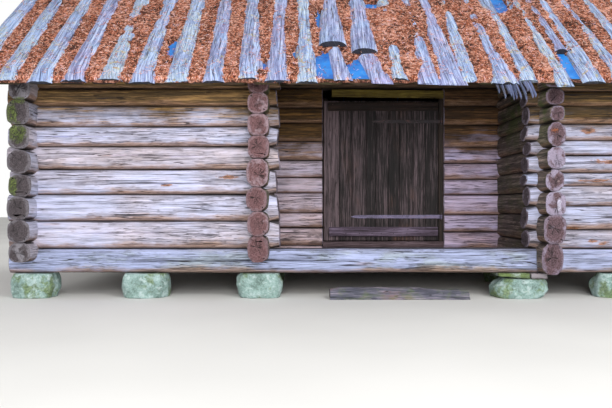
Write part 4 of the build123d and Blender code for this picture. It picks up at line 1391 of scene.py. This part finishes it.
# %% Finishes of the roof
def slab_finish(name):
    """Grey split logs: streaks down the slope, cracks, stuck needles, lichen by their tone, and
    painted shade on faces that look down.
    """
    wood = Finish(name, 0.9)
    place, grain, tone = wood.place(), wood.grain(), wood.tone()
    up = wood.axes(wood.node("ShaderNodeTexCoord", out="Normal"))[2]
    shift = tone * 43
    fine = wood.cloud(wood.stretch(grain, (3.0, 75, 1), shift), 2.6, 6, 0.7)
    streak = wood.cloud(wood.stretch(grain, (0.9, 20, 1), shift), 2.2, 4, 0.62, 0.3)
    patch = wood.cloud(place, 3.4, 4, 0.6)
    mixed = fine * 0.55 + streak * 0.45
    grey = wood.ramp(mixed, (0.34, paint(42, 46, 68)), (0.43, paint(100, 116, 156)),
                     (0.52, paint(156, 178, 222)), (0.64, paint(212, 232, 255)))
    purple = wood.ramp(mixed, (0.34, paint(48, 40, 60)), (0.44, paint(112, 110, 150)),
                       (0.53, paint(166, 166, 208)), (0.64, paint(222, 218, 242)))
    colour = wood.blend(((patch - 0.5) * 3 + 0.35 - (tone - 0.4) * 1.0).clamp(), grey, purple)
    spots = wood.cloud(place, 42, 5, 0.8, 0.2)
    crust = wood.cloud(place, 5.0, 4, 0.7)
    cover = (spots - 0.5) * 2.0 + (crust - 0.5) * 1.3 + (tone - 0.80) * 0.42
    pale = wood.ramp(fine, (0.38, paint(104, 124, 156)), (0.50, paint(164, 186, 208)),
                     (0.62, paint(222, 228, 226)))
    colour = wood.blend(cover.rise(0.0, 0.08) * 0.8, colour, pale)
    yellow = wood.cloud(place, 17, 4, 0.75).rise(0.56, 0.64) * (
        crust + (tone - 0.6) * 0.4).rise(0.42, 0.55)
    colour = wood.blend(yellow * 0.75, colour, paint(184, 166, 92))
    line = wood.cloud(wood.stretch(grain, (0.4, 15, 1), shift), 2.6, 2, 0.4)
    crack = abs(line - 0.5).below(0.006, 0.020) * streak.rise(0.42, 0.56)
    colour = wood.blend(crack * 0.8, colour, paint(48, 38, 52))
    stuck = wood.cloud(place, 75, 3, 0.7)
    colour = wood.blend(stuck.rise(0.60, 0.66) * patch.rise(0.40, 0.6), colour, paint(150, 92, 66))
    split = tone.rise(1.4, 1.5)
    colour = wood.blend(split * 0.75, colour, wood.ramp(
        streak * 0.5 + patch * 0.5, (0.40, paint(110, 62, 56)), (0.46, paint(58, 58, 92)),
        (0.56, paint(112, 122, 176))))
    # painted shade: faces that look down, such as the raised slab ends and the undersides, are made
    # nearly black
    colour = wood.blend((-up).rise(0.35, 0.55) * (1 - split) * 0.95, colour,
                        wood.ramp(fine, (0.36, paint(4, 3, 4)), (0.66, paint(30, 24, 28))))
    return wood.finish(colour, fine * 0.5 + streak * 0.8 + spots * 0.4 - crack * 1.5, 0.008)


def sheet_finish():
    """Woven blue plastic sheet, dusty and a little glossy."""
    film = Finish("blue_roof_sheet", 0.45)
    place = film.place()
    x, y, _ = film.axes(place)
    weave = (x * 900).sine() * (y * 900).sine()
    folds = film.cloud(place, 6, 4, 0.6)
    dust = film.cloud(place, 26, 5, 0.7)
    colour = film.ramp(folds, (0.35, paint(4, 84, 168)), (0.6, paint(16, 124, 208)))
    colour = film.blend(dust.rise(0.5, 0.7) * 0.45, colour, paint(112, 156, 190))
    return film.finish(colour, folds * 0.8 + weave * 0.05, 0.004, roughness=dust * 0.4 + 0.3)


def litter_finish(name, ground):
    """Fallen needles: orange brown with pale pink and dark bits, or the darker mat under them."""
    soil = Finish(name, 0.95)
    place, tone = soil.place(), soil.tone()
    bits = soil.cloud(soil.stretch(place, (1, 1, 1.4)), 70, 5, 0.8, 0.8)
    specks = soil.cells(place, 95)
    broad = soil.cloud(place, 3.6, 4, 0.6)
    if ground:
        clumps = soil.cloud(place, 34, 3, 0.7)
        mixed = bits * 0.4 + clumps * 0.6 + (broad - 0.5) * 0.30
        colour = soil.ramp(mixed, (0.42, paint(34, 14, 10)), (0.48, paint(112, 60, 42)),
                           (0.53, paint(190, 122, 96)), (0.60, paint(244, 192, 172)))
        colour = soil.blend(specks.below(0.10, 0.25) * 0.6, colour, paint(46, 30, 30))
        return soil.finish(colour, bits * 1.4 + specks * 0.8, 0.014)
    clumps = soil.cloud(place, 24, 3, 0.7)
    mixed = tone * 0.7 + (clumps - 0.5) * 1.7 + (broad - 0.5) * 0.3 + 0.15
    colour = soil.ramp(mixed, (0.0, paint(36, 14, 8)), (0.28, paint(104, 48, 30)),
                       (0.46, paint(200, 108, 68)), (0.64, paint(240, 166, 134)),
                       (0.84, paint(255, 220, 204)), (1.0, paint(220, 204, 236)))
    return soil.finish(colour, bits, 0.001)


slab_wood = slab_finish("grey_roof_slabs")
sheet_blue = sheet_finish()
litter = litter_finish("needle_mat", True)
needle_brown = litter_finish("fallen_needles", False)
lower_slab_wood = straight_finish("lower_roof_slabs", 0, paint(34, 26, 20), paint(70, 54, 42),
                                  paint(108, 88, 70), 0.2)
for node in ("under_slabs_front", "under_slabs_back"):
    dress(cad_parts[node], lower_slab_wood)
print("materials so far:", len(bpy.data.materials))

# %% [markdown]
# ## Blue sheet
# One sheet lies on each slope, held down by the logs on it. A cloth simulation would only find
# what is known, that it lies flat with low folds, so a fine grid gets those folds from a noise
# and then its thickness. The same folds also fit every pose, because the roof doesn't move.

# %% Blue sheet
for node, turn in (("roof_sheet_front", on_front), ("roof_sheet_back", on_back)):
    wide, long = 2 * roof_half - 0.06, slope_length - 0.020
    sheet = fresh(bpy.ops.mesh.primitive_grid_add, (wide, long, 1), x_subdivisions=120,
                  y_subdivisions=50, size=1,
                  location=(0, -long / 2 - 0.006, under_thick + 0.0006))
    for vertex in sheet.data.vertices:
        fold = noise.noise((vertex.co.x * 3.2, vertex.co.y * 1.2, 4))
        vertex.co.z += 0.003 * max(0, fold) + 0.002 * abs(noise.noise(vertex.co * 9))
    alone(sheet)
    thick = sheet.modifiers.new("film", "SOLIDIFY")
    thick.thickness = sheet_thick
    thick.offset = 0
    bpy.ops.object.modifier_apply(modifier="film")
    sheet.data.transform(turn)
    smooth(sheet)
    sheet.name = node.replace("roof_sheet", "blue_sheet")
    dress(sheet, sheet_blue)
    place_piece(sheet, node)
    print(sheet.name, round(wide, 2), "x", round(long, 2), "m")

# %% [markdown]
# ## Split logs on the sheet
# The upper logs are half logs, no two alike in width, taper and end. One blank is modelled, a
# cylinder cut in half along its middle, and every slab is a copy of it that is set out flat by a
# few numbers. The slabs over the porch follow the real ones, and one of them ends in splinters.

# %% A blank for the split logs
def slab_blank(rings):
    """A half log of unit width, height and length, round side up, that runs down from y = 0."""
    blank = fresh(bpy.ops.mesh.primitive_cylinder_add, vertices=24, radius=0.5, depth=1,
                  rotation=(pi / 2, 0, 0), location=(0, -0.5, 0))
    with editing(blank):
        bpy.ops.mesh.select_all(action="SELECT")
        bpy.ops.mesh.bisect(plane_co=(0, 0, 0), plane_no=(0, 0, -1), use_fill=True,
                            clear_outer=True)
        pick(blank, "edges", runs(1))
        bpy.ops.mesh.subdivide(number_cuts=rings)
    blank.data.transform(Matrix.Diagonal((1, 1, 2, 1)))
    return blank


blank = slab_blank(44)
print("blank:", len(blank.data.polygons), "faces")


def split_slab(line, widths, span, chance, tone=None, high=cover_high, ragged=0.012, lifted=0.0,
               thin=True):
    """One split log, made flat from the blank.

    line gives where it lies along X at its upper end and at its lower end, widths how wide it is
    at the upper end, in the middle and at the lower end, span where it starts and ends. ragged
    is how uneven its ends are, lifted how far the lower end stands up, and thin says whether it
    is thinner there.
    """
    piece = blank.copy()
    piece.data = blank.data.copy()
    bpy.context.scene.collection.objects.link(piece)
    tone = chance.random() if tone is None else tone
    seed = chance.uniform(0, 90)
    for vertex in piece.data.vertices:
        u, v, w = vertex.co
        way = -v
        down = span[0] + way * (span[1] - span[0])
        first, second = (widths[0], widths[1]) if way < 0.5 else (widths[1], widths[2])
        width = first + (second - first) * ((way * 2) % 1 if way < 1 else 1)
        width *= (1 + 0.10 * noise.noise((down * 1.1, seed, 5))
                  + 0.05 * noise.noise((down * 7, seed, u)))
        middle = line[0] + (line[1] - line[0]) * way
        middle += 0.014 * noise.noise((down * 0.9, seed, 0)) * min(1, 4 * way * (1 - way) + 0.2)
        top = high * min(1.1, 1 + 0.14 * noise.noise((down * 1.6, seed, 9)))
        if way > 0.985 or way < 0.001:
            down += ragged * (noise.noise((u * 6, seed, w)) + 0.7 * noise.noise((u * 17, seed, 3)))
        if thin:
            top *= 1 - 0.60 * min(1, max(0, (way - 0.955) / 0.045))
        vertex.co = (middle + u * width, -down, sheet_top + w * top + lifted * way ** 5)
    give_tone(piece, tone)
    return piece


# %% Where the upper slabs lie
middle_slabs = [(-1.700, 0.190), (-1.400, 0.220), (-1.140, 0.212), (-0.900, 0.180),
                (-0.645, 0.230), (-0.357, 0.226), (-0.075, 0.180), (0.130, 0.160),
                (0.330, 0.200), (0.530, 0.160), (0.770, 0.196), (0.995, 0.186), (1.240, 0.150),
                (1.420, 0.136), (1.570, 0.150), (1.770, 0.186), (2.010, 0.210)]
steps = [14, -22, 30, 4, -14, 38, -4, 20, -30, 8, 26, -10]

# The slabs over the porch that have a form of their own: where they lie at the top and at the
# eave, their widths at the top, middle and end, how far they reach past the usual end or, above
# 1, where they end, their tone (the higher, the more lichen) and how ragged their end is
own_forms = {
    -1.700: ((-1.740, -1.680), (0.19, 0.19, 0.19), 0, 0.35, 0.012),
    -1.400: ((-1.480, -1.385), (0.19, 0.20, 0.22), 0, 0.45, 0.012),
    -1.140: ((-1.155, -1.135), (0.17, 0.18, 0.22), 0, 0.20, 0.012),
    -0.900: ((-0.935, -0.888), (0.15, 0.16, 0.19), 0, 0.88, 0.020),
    -0.645: ((-0.638, -0.647), (0.14, 0.17, 0.26), 2.690, 0.35, 0.006),
    -0.357: ((-0.350, -0.360), (0.14, 0.17, 0.245), 2.830, 0.25, 0.006),
    -0.075: ((-0.040, -0.100), (0.14, 0.15, 0.17), 0, 0.95, 0.020),
    0.130: ((0.115, 0.150), (0.13, 0.14, 0.19), 0, 0.25, 0.030),
    0.330: ((0.325, 0.350), (0.12, 0.13, 0.255), 0.03, 0.12, 0.050),
    0.530: ((0.590, 0.492), (0.14, 0.15, 0.17), 0, 0.75, 0.045),
    0.770: ((0.745, 0.790), (0.12, 0.15, 0.24), 0.02, 0.45, 0.040),
    0.995: ((0.950, 0.995), (0.13, 0.14, 0.17), 0.01, 0.85, 0.012),
    1.240: ((1.245, 1.290), (0.12, 0.13, 0.14), 0.05, 0.97, 0.050),
    1.420: ((1.400, 1.425), (0.11, 0.11, 0.135), 2.776, 0.30, 0.006),
    1.570: ((1.570, 1.550), (0.13, 0.14, 0.20), 0.02, 0.70, 0.008),
    1.770: ((1.750, 1.785), (0.14, 0.15, 0.17), 0, 0.66, 0.015),
    2.010: ((1.998, 2.020), (0.15, 0.16, 0.18), 0, 0.74, 0.015),
}


def run_places(start, end, spacing=0.290):
    """Evenly spaced places from start to end."""
    count = round((end - start) / spacing)
    return [start + (end - start) * index / count for index in range(count + 1)]


raised, splintered = (-0.645, -0.357), 0.770
usual_width = 0.214
row_end = roof_half - usual_width / 2
row = [(x, usual_width) for x in run_places(-row_end, middle_slabs[0][0])[:-1]] + middle_slabs
row += [(x, usual_width) for x in run_places(middle_slabs[-1][0], row_end)[1:]]
print("slabs on each slope:", len(row))


# %% Upper slabs
def splinters(x, end, chance):
    """Long thin pieces that stand out of the split lower end of a slab."""
    pieces, count = [], 13
    for step in range(count):
        start = x - 0.12 + 0.0185 * step + chance.uniform(-0.010, 0.010)
        lean = 0.05 + 0.06 * step / count + chance.uniform(0.0, 0.06)
        reach = chance.choice((0.02, 0.05, 0.08, 0.10)) + chance.uniform(-0.01, 0.0)
        widths = (0.022, chance.uniform(0.008, 0.022), 0.003)
        pieces.append(split_slab((start, start + lean), widths, (end - 0.34, end + reach), chance,
                                 1.5 + chance.random() * 0.5, 0.030, 0.002,
                                 -0.5 * reach - chance.uniform(0.01, 0.05), False))
    return pieces


def slab_row(broken, seed):
    """All upper slabs of one slope; the front one has the broken ones."""
    chance = random.Random(seed)
    slabs = []
    for index, (x, width) in enumerate(row):
        end = slope_length + cover_reach + steps[index % len(steps)] / 1000
        if not broken or x not in own_forms:
            lean = chance.uniform(-0.012, 0.012)
            slabs.append(split_slab((x - lean, x + lean), (width * 0.88, width * 0.94, width),
                                    (0.02, end), chance, ragged=chance.uniform(0.010, 0.035)))
            continue
        line, widths, past, tone, ragged = own_forms[x]
        end = past if past > 1 else end + past
        slabs.append(split_slab(line, widths, (0.02, end), chance, tone, ragged=ragged,
                                lifted=0.034 if x in raised else 0.0, thin=past < 1))
        if x == splintered:
            slabs += splinters(line[1], end, chance)
    if broken:  # two flat ones show under the raised ends
        eave = slope_length + cover_reach
        slabs.append(split_slab((-0.650, -0.573), (0.12, 0.12, 0.155), (2.45, eave - 0.01), chance,
                                0.30, 0.034, 0.016))
        slabs.append(split_slab((-0.395, -0.245), (0.20, 0.205, 0.175), (2.50, eave + 0.02), chance,
                                0.05, 0.034, 0.030))
    return slabs


for node, turn, broken, seed in (("cover_slabs_front", on_front, True, 91),
                                 ("cover_slabs_back", on_back, False, 92)):
    slabs = joined(node.replace("cover_slabs", "upper_slabs"), slab_row(broken, seed))
    slope_map(slabs)
    roughen(slabs, (0.08, 0.6, 0.08), 0.008, 2)
    roughen(slabs, (0.02, 0.20, 0.02), 0.005, 3)
    for vertex in slabs.data.vertices:
        vertex.co.x = min(max(vertex.co.x, -roof_half), roof_half)
    slabs.data.transform(turn)
    for vertex in slabs.data.vertices:
        vertex.co.y = min(max(vertex.co.y, cad_bounds[0][1]), cad_bounds[1][1])
    smooth(slabs, 50)
    dress(slabs, slab_wood)
    place_piece(slabs, node)
    print(slabs.name, len(slabs.data.polygons), "faces")
bpy.data.objects.remove(blank)

# %% [markdown]
# ## Needles in the valleys
# The litter is one uneven mat per slope that lies between the slabs and up their sides. Where it
# is thin the blue sheet shows, and in two drifts it hides whole slabs. Thousands of single
# needles lie on the mat. One needle is a thin cone of three sides, an array makes the others of
# it, and code lays each one down at its own place, with its own length and tone.

# %% Mat of litter
# Bare places: X, distance down the slope, half width and half length
bare = [(-0.70, 3.02, 0.18, 0.34), (-0.44, 3.10, 0.13, 0.26), (-0.25, 1.75, 0.24, 0.11),
        (-0.76, 2.05, 0.040, 0.28), (-1.26, 3.02, 0.06, 0.10), (1.06, 1.73, 0.19, 0.30),
        (1.43, 3.08, 0.110, 0.42), (1.32, 1.98, 0.03, 0.06), (0.42, 3.24, 0.04, 0.07),
        (-0.985, 2.8, 0.03, 0.12), (2.3, 2.6, 0.06, 0.2), (-2.1, 2.7, 0.08, 0.22),
        (-2.9, 1.6, 0.06, 0.2)]
# Drifts that cover slabs: the same, and how much higher they lie
drifts = [(0.02, 2.25, 0.24, 0.70, 0.030), (0.02, 3.02, 0.20, 0.16, 0.022),
          (0.64, 2.7, 0.10, 0.7, 0.012), (0.88, 2.4, 0.10, 0.6, 0.014),
          (1.12, 2.7, 0.10, 0.5, 0.016), (1.68, 2.3, 0.10, 0.6, 0.016),
          (-1.02, 2.4, 0.10, 0.8, 0.010), (1.9, 2.9, 0.1, 0.4, 0.012),
          (-2.6, 2.2, 0.25, 0.5, 0.016), (2.9, 2.0, 0.28, 0.5, 0.018),
          (-0.36, 3.02, 0.14, 0.25, -0.026), (-0.61, 2.90, 0.10, 0.3, -0.020)]


def near(x, down, spot):
    """1 in the middle of a spot on the slope, 0 at its edge and beyond."""
    return max(0, 1 - hypot((x - spot[0]) / spot[2], (down - spot[1]) / spot[3]) ** 2)


def bareness(x, down):
    """How bare the sheet is at a place on the front slope, from 0 to 1."""
    most = max(near(x, down, spot) for spot in bare)
    rough = noise.noise((x * 11, down * 11, 2)) + 0.6 * noise.noise((x * 30, down * 30, 6))
    return min(1, max(0, most * 2.4 + 1.1 * rough - 0.25)) if most else 0


def mat_height(x, down, front):
    """Height of the litter above the sheet."""
    deep = 0.044 - 0.010 * min(1, max(0, (down - 1.9) / 1.3))
    deep += 0.012 * noise.noise((x * 2.3, down * 1.3, 7 if front else 17))
    deep += 0.012 * noise.noise((x * 10, down * 7, 3)) + 0.009 * noise.noise((x * 29, down * 29, 5))
    if front:
        deep += 0.009 * min(1, max(0, (x - 0.4) / 0.2))
        deep += sum(spot[4] * near(x, down, spot) for spot in drifts)
    deep *= min(1.0, max(0.25, (slope_length + 0.045 - down) / 0.13))
    return deep - (0.08 * bareness(x, down) if front else 0)


for name, turn, front in (("litter_mat_front", on_front, True),
                          ("litter_mat_back", on_back, False)):
    wide, long = 2 * roof_half - 0.09, slope_length + 0.010
    mat = fresh(bpy.ops.mesh.primitive_grid_add, (wide, long, 1), size=1,
                x_subdivisions=310 if front else 150, y_subdivisions=112 if front else 60,
                location=(0, -long / 2 - 0.03, sheet_top))
    mat.name = name
    lowest = min(vertex.co.y for vertex in mat.data.vertices)
    for vertex in mat.data.vertices:
        if vertex.co.y < lowest + 0.001:
            vertex.co.y += 0.022 * noise.noise((vertex.co.x * 12, 0, 0)) + 0.014 * noise.noise(
                (vertex.co.x * 41, 0, 4))
        vertex.co.z += mat_height(vertex.co.x, -vertex.co.y, front)
    with editing(mat):
        bpy.ops.mesh.select_all(action="SELECT")
        bpy.ops.mesh.extrude_region_move(TRANSFORM_OT_translate={"value": (0, 0, -0.028)})
    for vertex in mat.data.vertices:
        vertex.co.z = max(vertex.co.z, sheet_top - 0.006)
    give_tone(mat, 0.4)
    mat.data.transform(turn)
    with editing(mat):
        bpy.ops.mesh.select_all(action="SELECT")
        bpy.ops.mesh.normals_make_consistent(inside=False)
    smooth(mat, 60)
    dress(mat, litter)
    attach(mat, "cabin")
    print(name, len(mat.data.polygons), "faces")


# %% Single needles
def needle_heap(name, count):
    """Many copies of one needle in one mesh, still in a row; a cone of three sides is a needle."""
    heap = fresh(bpy.ops.mesh.primitive_cone_add, vertices=3, radius1=0.002, depth=0.04)
    heap.name = name
    heap.data.name = name
    while heap.data.uv_layers:
        heap.data.uv_layers.remove(heap.data.uv_layers[0])
    copies = heap.modifiers.new("many", "ARRAY")
    copies.count = count
    bpy.ops.object.modifier_apply(modifier="many")
    return heap


def scatter(name, turn, count, seed, front, hang):
    """Needles strewn over one slope, as one mesh; some of them hang over the eave."""
    chance = random.Random(seed)
    lanes = [(x - width * 0.36, x + width * 0.36) for x, width in row]
    heap = needle_heap(name, count)
    corners = 4
    shape = [vertex.co.copy() for vertex in heap.data.vertices[:corners]]
    points, tones = [], []
    while len(points) < count * corners:
        hanging = len(points) < hang * corners
        x = chance.uniform(-roof_half + 0.06, roof_half - 0.06)
        down = slope_length * (1 - 0.97 * chance.random() ** 1.25)
        if hanging:
            down = slope_length + chance.uniform(0.0, 0.035)
        on_slab = any(a < x < b for a, b in lanes)
        high = mat_height(x, down, front)
        if on_slab and high < cover_high - 0.004 and (hanging or chance.random() > 0.10):
            continue
        if front and bareness(x, down) > 0.6 and chance.random() > 0.08:
            continue
        lift = sheet_top + max(high, cover_high * 0.95 if on_slab else 0.003)
        size = Vector((chance.uniform(0.8, 1.4), chance.uniform(0.8, 1.4),
                       chance.uniform(0.65, 1.5)))
        spin = chance.uniform(0, 2 * pi) if not hanging else -pi / 2 + chance.gauss(0, 0.35)
        dip = chance.gauss(0, 0.28) if not hanging else chance.uniform(0.2, 0.7)
        turned = (Matrix.Rotation(spin, 3, "Z") @ Matrix.Rotation(dip, 3, "Y")
                  @ Matrix.Rotation(pi / 2, 3, "Y"))
        middle = Vector((x, -down, lift + 0.001 + chance.random() * 0.007))
        for point in shape:
            points += [turn @ (middle + turned @ (point * size))]
        tones += [chance.random()] * corners
    heap.data.vertices.foreach_set("co", [value for point in points for value in point])
    layer = heap.data.attributes.new("tone", "FLOAT", "POINT")
    layer.data.foreach_set("value", tones)
    heap.data.update()
    dress(heap, needle_brown)
    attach(heap, "cabin")
    print(name, len(heap.data.polygons), "faces")


scatter("needles_front", on_front, 46000, 61, True, 1800)
scatter("needles_back", on_back, 11000, 62, False, 500)

# %% [markdown]
# ## Ridge boards
# Two rows of boards lie over the upper ends of the slabs and meet at the ridge. Every board is
# made flat like the rest and cut off at the plane through the ridge, so that the two rows close
# in a mitre and leave no groove.

# %% Ridge boards
ridge_rows = []
ridge_chance = random.Random(8)
ridge_lift = sheet_top + cover_high
for turn in (on_front, on_back):
    for start in (-roof_half, 0.0):
        piece = board((start + 0.004, -0.235, ridge_lift),
                      (start + roof_half - 0.004, 0.150, ridge_lift + 0.026), 0, ridge_chance,
                      0.14, 0.005, 3)
        roughen(piece, (0.5, 0.05, 0.05), 0.006, 2)
        piece.data.transform(turn)
        cut_above(piece, (0, 0, apex), (0, 1 if turn is on_front else -1, 0))
        ridge_rows.append(piece)
ridge = joined("ridge_planks", ridge_rows)
smooth(ridge)
dress(ridge, slab_wood)
place_piece(ridge, "ridge_boards")
print(ridge.name, len(ridge.data.polygons), "faces")
